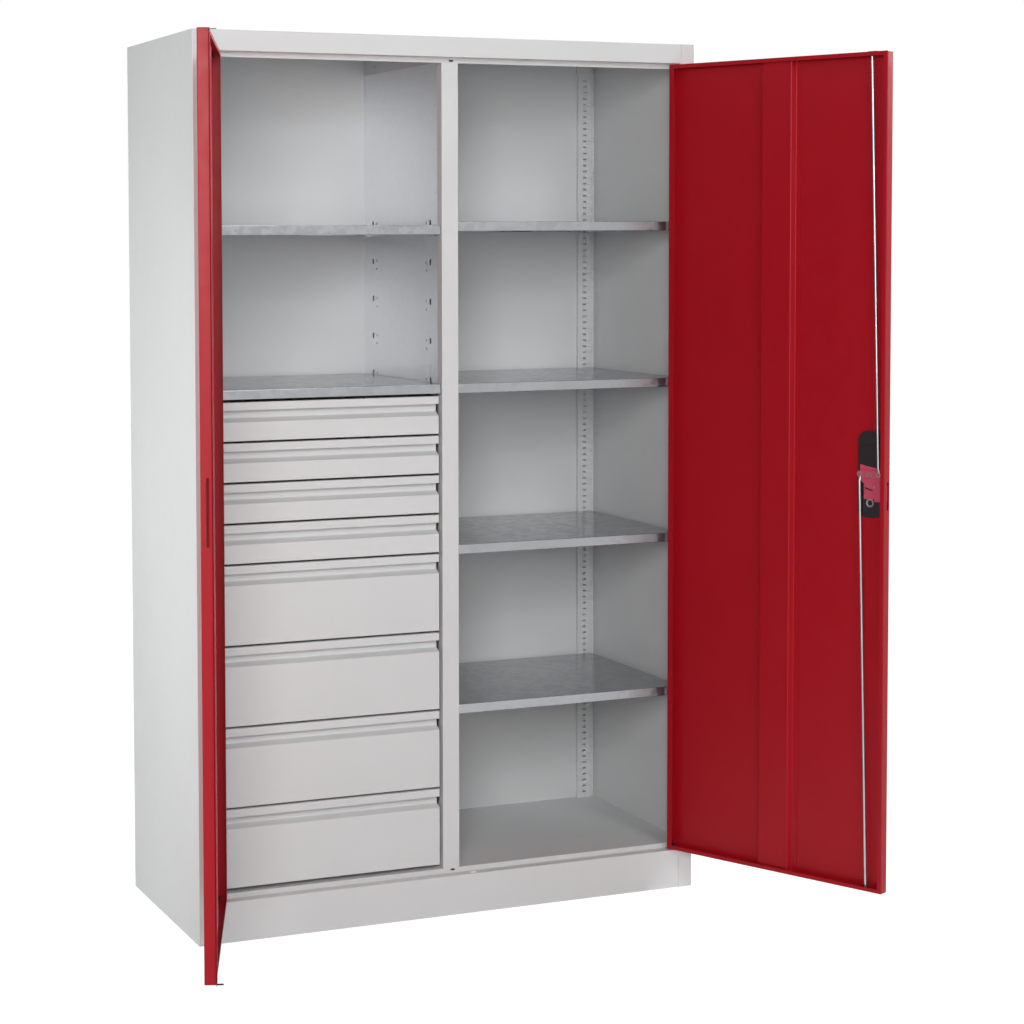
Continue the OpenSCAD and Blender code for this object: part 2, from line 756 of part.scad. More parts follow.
// Guides for the rods, seated in the end folds of the door
module rod_guides() right_hang() color(black)
  for (e = [[door_z1, 1], [door_z0, -1]])
    translate([spindle_in + e[1] * slot_slack / 2, rod_depth, e[0]]) difference() {
      union() {
        translate([0, 0, -e[1] * (door_sheet + guide_t / 2)]) linear_extrude(guide_t, center = true)
          round_rect(guide_w, guide_d, 3);
        linear_extrude(2 * door_sheet + 0.4, center = true) oblong(guide_w - 4.4, 2 * rod_r + 3.6);
      }
      linear_extrude(6 * guide_t, center = true) oblong(2 * rod_r + slot_slack + 1, 2 * rod_r + 0.8);
    }

// Turn handle, stored in the unlocked position across the tray
module turn_handle() at_spindle() color(black) difference() {
  union() {
    standing(handle_face - handle_t, handle_face) oblong(handle_l, handle_w);
    standing(handle_face, tray_back - hub_gap) circle(hub_r);
  }
  standing(handle_face - socket_depth, tray_depth) square(spindle_sq, center = true);
}

module lock_spindle() at_spindle() color(steel)
  standing(handle_face - socket_depth, spindle_end) square(spindle_sq, center = true);

module lock_cam() at_spindle() color(lock_red) {
  standing(cam_t0, cam_t0 + cam_t) difference() {
    oblong(2 * cam_throw + 2 * cam_end_r, 2 * cam_end_r);
    square(spindle_sq, center = true);
  }
  for (s = [-1, 1]) translate([s * cam_throw, 0, 0]) standing(cam_t0 + cam_t, pin_end) circle(pin_r);
}

// A rod with a flat eye at the origin, its shaft leaning from side to centre as it runs up
module rod(len, lean) rotate([0, lean, 0]) color(steel) difference() {
  union() {
    standing(eye_t0, eye_t0 + eye_t) {
      circle(2 * pin_r + 0.5);
      translate([-rod_r, 0]) square([2 * rod_r, rod_neck + 6]);
    }
    translate([0, rod_depth, rod_neck]) cylinder(h = len - rod_neck - rod_r, r = rod_r);
    translate([0, rod_depth, len - rod_r]) cylinder(h = rod_r, r1 = rod_r, r2 = rod_r / 2);
  }
  standing(eye_t0 - 1, eye_t0 + eye_t + 1) circle(pin_r + eye_clear);
}

top_run = door_z1 - spindle_z;
low_run = spindle_z - door_z0;
top_lean = atan(cam_throw / top_run);
low_lean = atan(cam_throw / low_run);

module top_rod() at_spindle() translate([cam_throw, 0, 0]) rod(top_run - rod_rest_in, -top_lean);

module bottom_rod() at_spindle() translate([-cam_throw, 0, 0]) rotate([0, 180, 0])
  rod(low_run - rod_rest_in, -low_lean);

// Centre bolt, drawn back flush with the edge of the door
module latch_bolt() right_hang() color(lock_red)
  block(door_w - bolt_back - bolt_len, door_w - bolt_back, bolt_depth, bolt_depth + bolt_t,
    bolt_z - bolt_h / 2, bolt_z + bolt_h / 2);

// Key cylinder with a key slot, ending flush with the plate so that the lower rod swings past it
module key_cylinder() at_spindle() color(steel) translate([0, 0, -cylinder_drop]) difference() {
  standing(-1, tray_depth + plate_t) circle(cylinder_r);
  standing(-2, tray_depth - 1) square([key_w, key_h], center = true);
}

// Drawer front, folded from one sheet: a face, a groove and a grip lip
module drawer_front(k) color(painted) {
  z = front_z(k);
  t = drawer_t;
  face = side_h(k);
  h = front_h(k);
  g = groove_d;
  translate([drawer_left, drawer_y, z]) rotate([90, 0, 90]) linear_extrude(drawer_w)
    polygon([[0, 0], [t, 0], [t, face - t / 2], [g + t, face + groove_slope - t / 2], [g + t, h], [0, h],
      [0, h - grip_h], [t, h - grip_h], [t, h - t], [g, h - t], [g, face + groove_slope], [0, face]]);
}

// Drawer box with a runner flange along the top of each side
module drawer_box(k) color(painted) {
  z = front_z(k);
  s = side_h(k);
  t = drawer_t;
  difference() {
    block(drawer_left, drawer_right, box_y0, box_y1, z, z + s);
    block(drawer_left + t, drawer_right - t, box_y0 + t, box_y1 - t, z + t, z + s + 1);
    if (s > groove_d)
      block(drawer_left - 1, drawer_right + 1, box_y0 - 1, box_y0 + groove_d + t, z + s - 2, z + s + 1);
  }
  block(drawer_left - runner_w, drawer_left, box_y0 + groove_d + t, box_y1, z + s - t, z + s);
  block(drawer_right, drawer_right + runner_w, box_y0 + groove_d + t, box_y1, z + s - t, z + s);
}

insert_x0 = drawer_left + drawer_t + insert_gap;
insert_x1 = drawer_right - drawer_t - insert_gap;
insert_y0 = box_y0 + drawer_t + insert_gap;
insert_y1 = box_y1 - drawer_t - insert_gap;
insert_z0 = front_z(insert_k) + drawer_t;
insert_z1 = insert_z0 + insert_h;
trough_y = insert_y1 - trough_d;
land_y = trough_y - land_d;
front_row_y = (insert_y0 + land_y) / 2;

rows = [[insert_y0, front_row_y], [front_row_y, land_y], [land_y, trough_y], [trough_y, insert_y1 - zinc_t]];

// Zinc insert, its walls running from side to side
module trough_insert() color(zinc)
  difference() {
    block(insert_x0, insert_x1, insert_y0, insert_y1, insert_z0, insert_z1);
    for (r = rows)
      block(insert_x0 + zinc_t, insert_x1 - zinc_t, r[0] + zinc_t, r[1], insert_z0 + zinc_t, insert_z1 + 1);
  }

// Cross dividers that stand in the three wide rows of the insert
module insert_dividers() color(zinc)
  for (i = [1 : trough_count - 1], r = [rows[0], rows[1], rows[3]]) {
    x = insert_x0 + i * (insert_x1 - insert_x0) / trough_count;
    block(x - zinc_t / 2, x + zinc_t / 2, r[0] + zinc_t, r[1], insert_z0 + zinc_t, insert_z1 - divider_drop);
  }

left_side_panel();
right_side_panel();
back_panel();
top_panel();
floor_pan();
plinth();
support_channel();
centre_post();
partition_left_sheet();
partition_right_sheet();
partition_bracket();
mounting_panel();
rear_upright();
front_upright();
left_shelf_low();
left_shelf_high();
right_shelf(1);  // right_shelf_1
right_shelf(2);  // right_shelf_2
right_shelf(3);  // right_shelf_3
right_shelf(4);  // right_shelf_4
shelf_clips();
drawer_rails();
pivot_pins();
left_door_shell();
left_door_stiffener();
left_door_bushes();
closing_strip();
left_door_catches();
left_catch_tongues();
right_door_shell();
right_door_stiffener();
right_door_bushes();
lock_tray();
lock_plate();
rod_guides();
turn_handle();
lock_spindle();
lock_cam();
top_rod();
bottom_rod();
latch_bolt();
key_cylinder();
drawer_box(0);  // drawer_1_box
drawer_front(0);  // drawer_1_front
drawer_box(1);  // drawer_2_box
drawer_front(1);  // drawer_2_front
drawer_box(2);  // drawer_3_box
drawer_front(2);  // drawer_3_front
drawer_box(3);  // drawer_4_box
drawer_front(3);  // drawer_4_front
drawer_box(4);  // drawer_5_box
drawer_front(4);  // drawer_5_front
drawer_box(5);  // drawer_6_box
drawer_front(5);  // drawer_6_front
drawer_box(6);  // drawer_7_box
drawer_front(6);  // drawer_7_front
drawer_box(7);  // drawer_8_box
drawer_front(7);  // drawer_8_front
trough_insert();
insert_dividers();
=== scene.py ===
"""Looks of a two-door tool cabinet with drawers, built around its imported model.

All sizes in the classes are in millimetres; Blender works in metres.
"""
import sys
import logging
import math
from dataclasses import dataclass
from enum import Enum
from typing import Callable, Sequence

import bmesh
import bpy
from mathutils import Euler, Matrix, Vector


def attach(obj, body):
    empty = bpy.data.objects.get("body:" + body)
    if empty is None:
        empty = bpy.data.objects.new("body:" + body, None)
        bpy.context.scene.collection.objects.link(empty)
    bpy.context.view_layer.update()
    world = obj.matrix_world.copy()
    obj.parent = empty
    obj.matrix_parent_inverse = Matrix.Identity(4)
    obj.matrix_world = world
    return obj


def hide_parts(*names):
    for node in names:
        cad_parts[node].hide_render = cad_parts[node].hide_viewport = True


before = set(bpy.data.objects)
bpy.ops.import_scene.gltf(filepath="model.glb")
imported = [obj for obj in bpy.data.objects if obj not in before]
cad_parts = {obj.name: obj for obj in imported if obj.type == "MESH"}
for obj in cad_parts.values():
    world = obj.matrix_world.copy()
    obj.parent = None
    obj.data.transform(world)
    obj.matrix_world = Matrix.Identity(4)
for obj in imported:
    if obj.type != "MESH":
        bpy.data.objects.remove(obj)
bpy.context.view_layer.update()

LOG = logging.getLogger("cabinet")
MM = 0.001
Point = tuple[float, float, float]
Flat = tuple[float, float]
Piece = bpy.types.Object
Socket = bpy.types.NodeSocket
FRONT, BACK = (0, -1, 0), (0, 1, 0)
UP, DOWN = (0, 0, 1), (0, 0, -1)
THROUGH = (-3.0, 3.0)  # deep enough to cut a hole through a sheet
WHITE = (1, 1, 1, 1)
SAME = 0.1  # measures that differ by less are the same


class Slot(Enum):
    """The finishes that the record names."""

    CARCASS = "carcass_paint"
    DOOR = "door_paint"
    ZINC = "zinc_sheet"
    STEEL = "bright_steel"
    PLASTIC = "black_plastic"
    LOCK = "lock_red"


class Side(Enum):
    """The two sides of the cabinet, with the sign of x on each."""

    LEFT = -1
    RIGHT = 1

    def span(self, inner: float, outer: float) -> Flat:
        """Return two distances from the middle as the lowest and the highest x on this side."""
        low, high = sorted((self.value * inner, self.value * outer))
        return low, high


class Along(Enum):
    """The axis along which a folded sheet runs."""

    X = "x"
    Y = "y"
    Z = "z"

    def turn(self) -> Matrix:
        """Return the turn that brings a sheet drawn along z onto this axis."""
        rows = {
            Along.X: ((0, 0, 1, 0), (1, 0, 0, 0), (0, 1, 0, 0), (0, 0, 0, 1)),
            Along.Y: ((0, 1, 0, 0), (0, 0, 1, 0), (1, 0, 0, 0), (0, 0, 0, 1)),
        }
        return Matrix(rows[self]) if self in rows else Matrix.Identity(4)


def near(a: float, b: float) -> bool:
    """Return whether two measures in millimetres are the same."""
    return abs(a - b) < SAME


def both(a: Vector, b: Vector, **at: float) -> bool:
    """Return whether both ends of an edge lie at the measure given for each axis named."""
    return all(near(getattr(p, axis), place) for p in (a, b) for axis, place in at.items())


def upright(a: Vector, b: Vector) -> bool:
    """Return whether an edge between two points runs straight up."""
    return near(a.x, b.x) and near(a.y, b.y)


def moved(x: float, y: float, z: float) -> Matrix:
    """Return the move by these millimetres as a matrix."""
    return Matrix.Translation((x * MM, y * MM, z * MM))


def turned(degrees: float, axis: str) -> Matrix:
    """Return the turn by these degrees about an axis as a matrix."""
    return Matrix.Rotation(math.radians(degrees), 4, axis)


def add_node(tree: bpy.types.NodeTree, kind: str, inputs: dict[str | int, object],
             **settings: object) -> bpy.types.Node:
    """Add a node to a material or to the world.

    Args:
        tree: The nodes to add to.
        kind: The node's type without its prefix.
        inputs: What goes into each input: a number, a colour or the socket to link.
        **settings: The node's own settings.

    Returns:
        The node.
    """
    node = tree.nodes.new("ShaderNode" + kind)
    for key, value in settings.items():
        setattr(node, key, value)
    for key, value in inputs.items():
        if isinstance(value, Socket):
            tree.links.new(value, node.inputs[key])
        else:
            node.inputs[key].default_value = value
    return node


class Recipe:
    """A material being mixed: its shader, its Object coordinates and its textures."""

    def __init__(self, name: str) -> None:
        """Start a material.

        Args:
            name: The name of the material.
        """
        self.material = bpy.data.materials.new(name)
        self.material.use_nodes = True
        self.tree = self.material.node_tree
        self.shader = self.tree.nodes["Principled BSDF"]
        self.place = self.tree.nodes.new("ShaderNodeTexCoord").outputs["Object"]

    def put(self, socket: str, value: float | Sequence[float]) -> None:
        """Set a value that is the same all over the surface on a socket of the shader."""
        self.shader.inputs[socket].default_value = value

    def feed(self, source: Socket, socket: str) -> None:
        """Link a texture to a socket of the shader."""
        self.tree.links.new(source, self.shader.inputs[socket])

    def noise(self, scale: float, detail: float, stretch: Point = (1, 1, 1)) -> Socket:
        """Add soft noise.

        Args:
            scale: Waves per metre.
            detail: The number of finer octaves.
            stretch: The scale along each axis. Less than 1 draws the pattern out.

        Returns:
            The noise value.
        """
        place = add_node(self.tree, "Mapping", {"Scale": stretch, "Vector": self.place})
        inputs = {"Scale": scale, "Detail": detail, "Vector": place.outputs["Vector"]}
        return add_node(self.tree, "TexNoise", inputs).outputs["Fac"]

    def grains(self, scale: float) -> Socket:
        """Add crystal grains, each with a tone of its own.

        Args:
            scale: Grains per metre.

        Returns:
            The tone of each grain.
        """
        cells = add_node(self.tree, "TexVoronoi", {"Scale": scale, "Vector": self.place})
        split = add_node(self.tree, "SeparateColor", {"Color": cells.outputs["Color"]})
        return split.outputs["Red"]

    def spread(self, source: Socket, low: float, high: float) -> Socket:
        """Map a texture onto a range, which it runs through between 0.3 and 0.7."""
        inputs = {"Value": source, "From Min": 0.3, "From Max": 0.7, "To Min": low, "To Max": high}
        return add_node(self.tree, "MapRange", inputs).outputs["Result"]

    def blend(self, source: Socket, low: Point, high: Point) -> Socket:
        """Run a texture between two colours.

        Args:
            source: The texture's value.
            low: The colour where the texture is low.
            high: The colour where the texture is high.

        Returns:
            The colour.
        """
        node = add_node(self.tree, "ValToRGB", {"Fac": source})
        for stop, place, colour in zip(node.color_ramp.elements, (0.25, 0.75), (low, high)):
            stop.position = place
            stop.color = (*colour, 1)
        return node.outputs["Color"]

    def relief(self, source: Socket, height: float, strength: float,
               under: Socket | None = None) -> Socket:
        """Turn a texture into relief.

        Args:
            source: The texture's value.
            height: The height of the relief in millimetres.
            strength: How much of it shows.
            under: Another relief that this one lies on.

        Returns:
            The bent normal.
        """
        inputs = {"Distance": height * MM, "Strength": strength, "Height": source}
        if under is not None:
            inputs["Normal"] = under
        return add_node(self.tree, "Bump", inputs).outputs["Normal"]


def shade(colour: Point, factor: float) -> Point:
    """Return a colour made lighter or darker by a factor."""
    return tuple(min(1.0, channel * factor) for channel in colour)


@dataclass(frozen=True)
class PowderCoat:
    """Powder-coated sheet with the faint orange peel of baked paint."""

    name: str
    colour: Point
    rough: float
    shine: float = 0.5
    peel: float = 0.02

    def mix(self) -> bpy.types.Material:
        """Return the material."""
        recipe = Recipe(self.name)
        dull, bright = shade(self.colour, 0.965), shade(self.colour, 1.03)
        recipe.feed(recipe.blend(recipe.noise(2.2, 3), dull, bright), "Base Color")
        clouds = recipe.noise(35, 3)
        recipe.feed(recipe.spread(clouds, self.rough - 0.04, self.rough + 0.05), "Roughness")
        waves = recipe.relief(recipe.noise(160, 1), self.peel, 0.35)
        recipe.feed(recipe.relief(recipe.noise(900, 2), self.peel, 0.6, waves), "Normal")
        recipe.put("Specular IOR Level", self.shine)
        return recipe.material


@dataclass(frozen=True)
class GalvanisedSheet:
    """Hot-dip galvanised sheet, satin, with pale and dark crystal grains."""

    name: str
    pale: Point
    dark: Point
    rough: float = 0.22
    grain: float = 0.05
    metal: float = 0.9

    def mix(self) -> bpy.types.Material:
        """Return the material."""
        recipe = Recipe(self.name)
        grains = recipe.grains(70)
        clouds = recipe.spread(recipe.noise(5, 4, (1, 1, 0.4)), 0.1, 0.5)
        tone = add_node(recipe.tree, "Math", {0: grains, 1: 0.45, 2: clouds},
                        operation="MULTIPLY_ADD")
        recipe.feed(recipe.blend(tone.outputs["Value"], self.dark, self.pale), "Base Color")
        low, high = self.rough - self.grain, self.rough + self.grain
        recipe.feed(recipe.spread(grains, low, high), "Roughness")
        recipe.feed(recipe.relief(recipe.noise(420, 3), 0.02, 0.2), "Normal")
        recipe.put("Metallic", self.metal)
        return recipe.material


@dataclass(frozen=True)
class DrawnSteel:
    """Bright zinc-plated steel, with faint lines drawn along its length."""

    name: str
    colour: Point
    rough: float = 0.3

    def mix(self) -> bpy.types.Material:
        """Return the material."""
        recipe = Recipe(self.name)
        lines = recipe.noise(900, 2, (1, 1, 0.02))
        tones = recipe.blend(recipe.noise(30, 3), shade(self.colour, 0.85), self.colour)
        recipe.feed(tones, "Base Color")
        recipe.feed(recipe.spread(lines, self.rough - 0.06, self.rough + 0.1), "Roughness")
        recipe.feed(recipe.relief(lines, 0.002, 0.15), "Normal")
        recipe.put("Metallic", 1.0)
        return recipe.material


@dataclass(frozen=True)
class MouldedPlastic:
    """Black injection-moulded plastic with a fine eroded grain."""

    name: str
    colour: Point
    rough: float

    def mix(self) -> bpy.types.Material:
        """Return the material."""
        recipe = Recipe(self.name)
        grain = recipe.noise(1600, 3)
        dull, bright = shade(self.colour, 0.8), shade(self.colour, 1.3)
        recipe.feed(recipe.blend(recipe.noise(60, 3), dull, bright), "Base Color")
        recipe.feed(recipe.spread(grain, self.rough - 0.07, self.rough + 0.1), "Roughness")
        recipe.feed(recipe.relief(grain, 0.03, 0.7), "Normal")
        return recipe.material


FINISHES = {
    Slot.CARCASS: PowderCoat("light_grey_powder_coat", (0.625, 0.636, 0.638), 0.46),
    Slot.DOOR: PowderCoat("ruby_red_powder_coat", (0.34, 0.004, 0.011), 0.4, 0.22),
    Slot.ZINC: GalvanisedSheet("galvanised_sheet", (0.39, 0.40, 0.418), (0.35, 0.358, 0.374)),
    Slot.STEEL: DrawnSteel("bright_zinc_plated_steel", (0.5, 0.51, 0.535)),
    Slot.PLASTIC: MouldedPlastic("black_moulded_plastic", (0.006, 0.006, 0.007), 0.36),
    # Pinkish red on the lock plate, the cam and the bolt alike; the bolt is bright steel in the
    # record.
    Slot.LOCK: PowderCoat("pinkish_red_lock_finish", (0.46, 0.055, 0.1), 0.4),
}
# A much lighter copy of the galvanised sheet, for the partition sheets, the mounting panel and the
# drawer rails: painted light, standing in for the light that the partition reflects from the left
# bay.
LIT_GALVANISED_COPY = GalvanisedSheet("galvanised_sheet_with_painted_light", (0.88, 0.895, 0.92), (0.85, 0.865, 0.89),
                               0.3, 0.02)


class Bench:
    """The modelling steps that every piece shares, each done with Blender's operators."""

    @staticmethod
    def clear() -> None:
        """Leave edit mode and deselect everything. Each step below starts with this."""
        if bpy.context.object is not None and bpy.context.object.mode != "OBJECT":
            bpy.ops.object.mode_set(mode="OBJECT")
        bpy.ops.object.select_all(action="DESELECT")

    @staticmethod
    def pick(piece: Piece) -> None:
        """Select one piece alone.

        Args:
            piece: The piece to work on.
        """
        Bench.clear()
        piece.select_set(True)
        bpy.context.view_layer.objects.active = piece

    @staticmethod
    def settle(piece: Piece, matrix: Matrix | None = None) -> Piece:
        """Put a piece in its place and apply the place to its mesh.

        Args:
            piece: The piece.
            matrix: Where it goes, or None to keep it where it is.

        Returns:
            The same piece.
        """
        if matrix is not None:
            piece.matrix_world = matrix @ piece.matrix_world
        Bench.pick(piece)
        bpy.ops.object.transform_apply(location=True, rotation=True, scale=True)
        return piece

    @staticmethod
    def block(name: str, low: Point, high: Point) -> Piece:
        """Add a block between two corners.

        Args:
            name: The piece's name.
            low: Its lowest corner.
            high: Its highest corner.

        Returns:
            The block.
        """
        Bench.clear()
        middle = [(a + b) / 2 * MM for a, b in zip(low, high)]
        bpy.ops.mesh.primitive_cube_add(size=1, location=middle)
        piece = bpy.context.object
        piece.name = name
        piece.scale = [(b - a) * MM for a, b in zip(low, high)]
        return Bench.settle(piece)

    @staticmethod
    def barrel(name: str, radius: float, low: Point, high: Point, sides: int = 40) -> Piece:
        """Add a round bar between two points.

        Args:
            name: The piece's name.
            radius: Its radius.
            low: The middle of one end.
            high: The middle of the other end.
            sides: The number of flats round it.

        Returns:
            The bar.
        """
        Bench.clear()
        run = Vector(high) - Vector(low)
        middle = (Vector(high) + Vector(low)) / 2 * MM
        turn = run.to_track_quat("Z", "Y").to_euler()
        bpy.ops.mesh.primitive_cylinder_add(vertices=sides, radius=radius * MM,
                                            depth=run.length * MM, location=middle,
                                            rotation=turn)
        piece = bpy.context.object
        piece.name = name
        return Bench.settle(piece)

    @staticmethod
    def edit(piece: Piece, mode: str) -> None:
        """Open a piece in edit mode with nothing selected.

        Args:
            piece: The piece.
            mode: VERT, EDGE or FACE.
        """
        if bpy.context.object is not piece or piece.mode != "EDIT":
            Bench.pick(piece)
            bpy.ops.object.mode_set(mode="EDIT")
        bpy.ops.mesh.select_mode(type=mode)
        bpy.ops.mesh.select_all(action="DESELECT")

    @staticmethod
    def select(piece: Piece, mode: str, test: Callable[[object], bool]) -> None:
        """Select parts of a piece's mesh.

        Args:
            piece: The piece.
            mode: VERT, EDGE or FACE.
            test: Says of a part whether it is meant.
        """
        Bench.edit(piece, mode)
        net = bmesh.from_edit_mesh(piece.data)
        for part in {"VERT": net.verts, "EDGE": net.edges, "FACE": net.faces}[mode]:
            part.select_set(test(part))
        if mode == "VERT":
            net.select_flush(True)
        bmesh.update_edit_mesh(piece.data)

    @staticmethod
    def faces(piece: Piece, towards: Point) -> None:
        """Select the faces that look towards a direction."""
        Bench.select(piece, "FACE", lambda face: face.normal.dot(Vector(towards)) > 0.9)

    @staticmethod
    def edges(piece: Piece, test: Callable[[Vector, Vector], bool]) -> None:
        """Select the edges whose two ends in millimetres pass a test."""
        Bench.select(piece, "EDGE", lambda edge: test(*(vert.co / MM for vert in edge.verts)))

    @staticmethod
    def corners(piece: Piece, test: Callable[[Vector], bool]) -> None:
        """Select the corners whose place in millimetres passes a test."""
        Bench.select(piece, "VERT", lambda vert: test(vert.co / MM))

    @staticmethod
    def move(step: Point) -> None:
        """Move what is selected by a step in millimetres."""
        bpy.ops.transform.translate(value=[a * MM for a in step])

    @staticmethod
    def draw_out(step: Point) -> None:
        """Extrude what is selected and move it by a step in millimetres."""
        bpy.ops.mesh.extrude_region_move(TRANSFORM_OT_translate={"value": [a * MM for a in step]})

    @staticmethod
    def inset(width: float) -> None:
        """Leave a rim of this width in millimetres round the selected faces."""
        bpy.ops.mesh.inset(thickness=width * MM)

    @staticmethod
    def round_off(width: float, segments: int = 4) -> None:
        """Round the selected edges to a radius in millimetres, with this many flats."""
        bpy.ops.mesh.bevel(offset=width * MM, offset_type="OFFSET", segments=segments,
                           affect="EDGES", profile=0.5)

    @staticmethod
    def apply(piece: Piece, kind: str, **settings: object) -> None:
        """Add a modifier and apply it.

        Args:
            piece: The piece.
            kind: The modifier's type.
            **settings: Its settings.
        """
        Bench.pick(piece)
        modifier = piece.modifiers.new(kind.lower(), kind)
        for key, value in settings.items():
            setattr(modifier, key, value)
        bpy.ops.object.modifier_apply(modifier=modifier.name)

    @staticmethod
    def thicken(piece: Piece, thickness: float, offset: float) -> None:
        """Give a sheet its thickness in millimetres, inwards at offset -1, both ways at 0."""
        Bench.apply(piece, "SOLIDIFY", thickness=thickness * MM, offset=offset,
                    use_even_offset=True)

    @staticmethod
    def ease(piece: Piece, width: float, segments: int = 2, angle: float = 40) -> None:
        """Round the edges of a piece that are sharper than an angle in degrees."""
        Bench.apply(piece, "BEVEL", width=width * MM, segments=segments, limit_method="ANGLE",
                    angle_limit=math.radians(angle), use_clamp_overlap=True)

    @staticmethod
    def cut(piece: Piece, *cutters: Piece) -> None:
        """Cut the shapes of other pieces out of one, and discard them.

        Args:
            piece: The piece that is cut.
            *cutters: The shapes to take out.
        """
        for cutter in cutters:
            Bench.apply(piece, "BOOLEAN", operation="DIFFERENCE", solver="MANIFOLD",
                        object=cutter)
            bpy.data.objects.remove(cutter, do_unlink=True)

    @staticmethod
    def merge(piece: Piece, *others: Piece) -> Piece:
        """Join other pieces to one.

        Args:
            piece: The piece that stays.
            *others: The pieces that become part of it.

        Returns:
            The joined piece.
        """
        Bench.pick(piece)
        for other in others:
            other.select_set(True)
        bpy.ops.object.join()
        return piece

    @staticmethod
    def copy(piece: Piece, name: str) -> Piece:
        """Copy a piece with its mesh.

        Args:
            piece: The piece to copy.
            name: The copy's name.

        Returns:
            The copy.
        """
        Bench.pick(piece)
        bpy.ops.object.duplicate(linked=False)
        twin = bpy.context.object
        twin.name = name
        return twin

    @staticmethod
    def folded(name: str, path: Sequence[Flat], start: float, end: float, along: Along,
               thickness: float = 1.0, bend: float = 1.3) -> Piece:
        """Fold a sheet along a path, as on a press brake.

        Args:
            name: The piece's name.
            path: The middle of the sheet, seen along its length. Its two axes are x and y for a
                sheet that runs along z, y and z along x, and z and x along y.
            start: Where the sheet starts along its axis.
            end: Where it ends.
            along: The axis that it runs along.
            thickness: The thickness of the sheet.
            bend: The radius of each fold.

        Returns:
            The folded sheet.
        """
        Bench.clear()
        (x0, y0), (x1, y1) = path[0], path[1]
        bpy.ops.mesh.primitive_plane_add(size=1)
        piece = bpy.context.object
        piece.name = name
        piece.rotation_euler = (math.pi / 2, 0, math.atan2(y1 - y0, x1 - x0))
        piece.location = ((x0 + x1) / 2 * MM, (y0 + y1) / 2 * MM, (start + end) / 2 * MM)
        piece.scale = (math.hypot(x1 - x0, y1 - y0) * MM, (end - start) * MM, 1)
        Bench.settle(piece)
        Bench.edges(piece, lambda a, b: both(a, b, x=x1, y=y1))
        for (xa, ya), (xb, yb) in zip(path[1:], path[2:]):
            Bench.draw_out((xb - xa, yb - ya, 0))
        for fold in path[1:-1]:
            Bench.edges(piece, lambda a, b: both(a, b, x=fold[0], y=fold[1]))
            Bench.round_off(bend)
        Bench.thicken(piece, thickness, 0)
        return Bench.settle(piece, along.turn())

    @staticmethod
    def slab(name: str, half: Flat, depth: Flat, radius: float, segments: int = 8) -> Piece:
        """Add an upright plate with round corners, centred in x and z.

        Args:
            name: The piece's name.
            half: Half its width and half its height.
            depth: Its front and back along y.
            radius: The radius of its corners.
            segments: The number of flats in each corner.

        Returns:
            The plate.
        """
        piece = Bench.block(name, (-half[0], depth[0], -half[1]), (half[0], depth[1], half[1]))
        Bench.edges(piece, lambda a, b: near(a.x, b.x) and near(a.z, b.z))
        Bench.round_off(radius, segments)
        Bench.clear()
        return piece

    @staticmethod
    def plate(name: str, corners: Sequence[Flat], depth: Flat) -> Piece:
        """Cut an upright plate to an outline.

        Args:
            name: The piece's name.
            corners: The outline in x and z.
            depth: The plate's front and back along y.

        Returns:
            The plate.
        """
        Bench.clear()
        bpy.ops.mesh.primitive_circle_add(vertices=len(corners), radius=1, fill_type="NGON",
                                          location=(0, depth[0] * MM, 0),
                                          rotation=(math.pi / 2, 0, 0))
        piece = bpy.context.object
        piece.name = name
        Bench.settle(piece)
        for start, (x, z) in zip([vert.co / MM for vert in piece.data.vertices], corners):
            Bench.corners(piece, lambda p: (p - start).length < 0.1)
            Bench.move((x - start.x, 0, z - start.z))
        Bench.edit(piece, "FACE")
        bpy.ops.mesh.select_all(action="SELECT")
        Bench.draw_out((0, depth[1] - depth[0], 0))
        Bench.clear()
        return piece

    @staticmethod
    def finish(piece: Piece, angle: float = 35) -> Piece:
        """Turn the faces outwards and smooth the rounds.

        Args:
            piece: The piece.
            angle: The greatest angle that is smoothed over, in degrees.

        Returns:
            The same piece.
        """
        Bench.edit(piece, "FACE")
        bpy.ops.mesh.select_all(action="SELECT")
        bpy.ops.mesh.normals_make_consistent(inside=False)
        Bench.pick(piece)
        bpy.ops.object.shade_smooth_by_angle(angle=math.radians(angle))
        Bench.apply(piece, "WEIGHTED_NORMAL", keep_sharp=True)
        return piece


class Shop:
    """Mixes the finishes and attaches finished pieces to their bodies."""

    def __init__(self) -> None:
        """Mix every finish once."""
        self.finishes = {slot: finish.mix() for slot, finish in FINISHES.items()}
        self.lit_galvanised_copy = LIT_GALVANISED_COPY.mix()

    def deliver(self, piece: Piece, body: str, slot: Slot, *nodes: str) -> None:
        """Give a new piece its finish and its body.

        Args:
            piece: The piece.
            body: The body that it rides on.
            slot: Its finish.
            *nodes: The solids that it stands for.
        """
        Bench.finish(piece)
        piece.data.materials.clear()
        piece.data.materials.append(self.finishes[slot])
        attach(piece, body)
        if nodes:
            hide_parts(*nodes)
        LOG.info("%s: %d faces, on %s", piece.name, len(piece.data.polygons), body)

    def dress(self, slot: Slot, *nodes: str, finish: bpy.types.Material | None = None) -> None:
        """Give solids of the model their finish.

        Args:
            slot: Their finish.
            *nodes: The solids' names.
            finish: Another mix of that finish.
        """
        for node in nodes:
            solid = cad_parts[node]
            solid.data.materials.clear()
            solid.data.materials.append(finish or self.finishes[slot])
            LOG.info("%s: dressed", node)


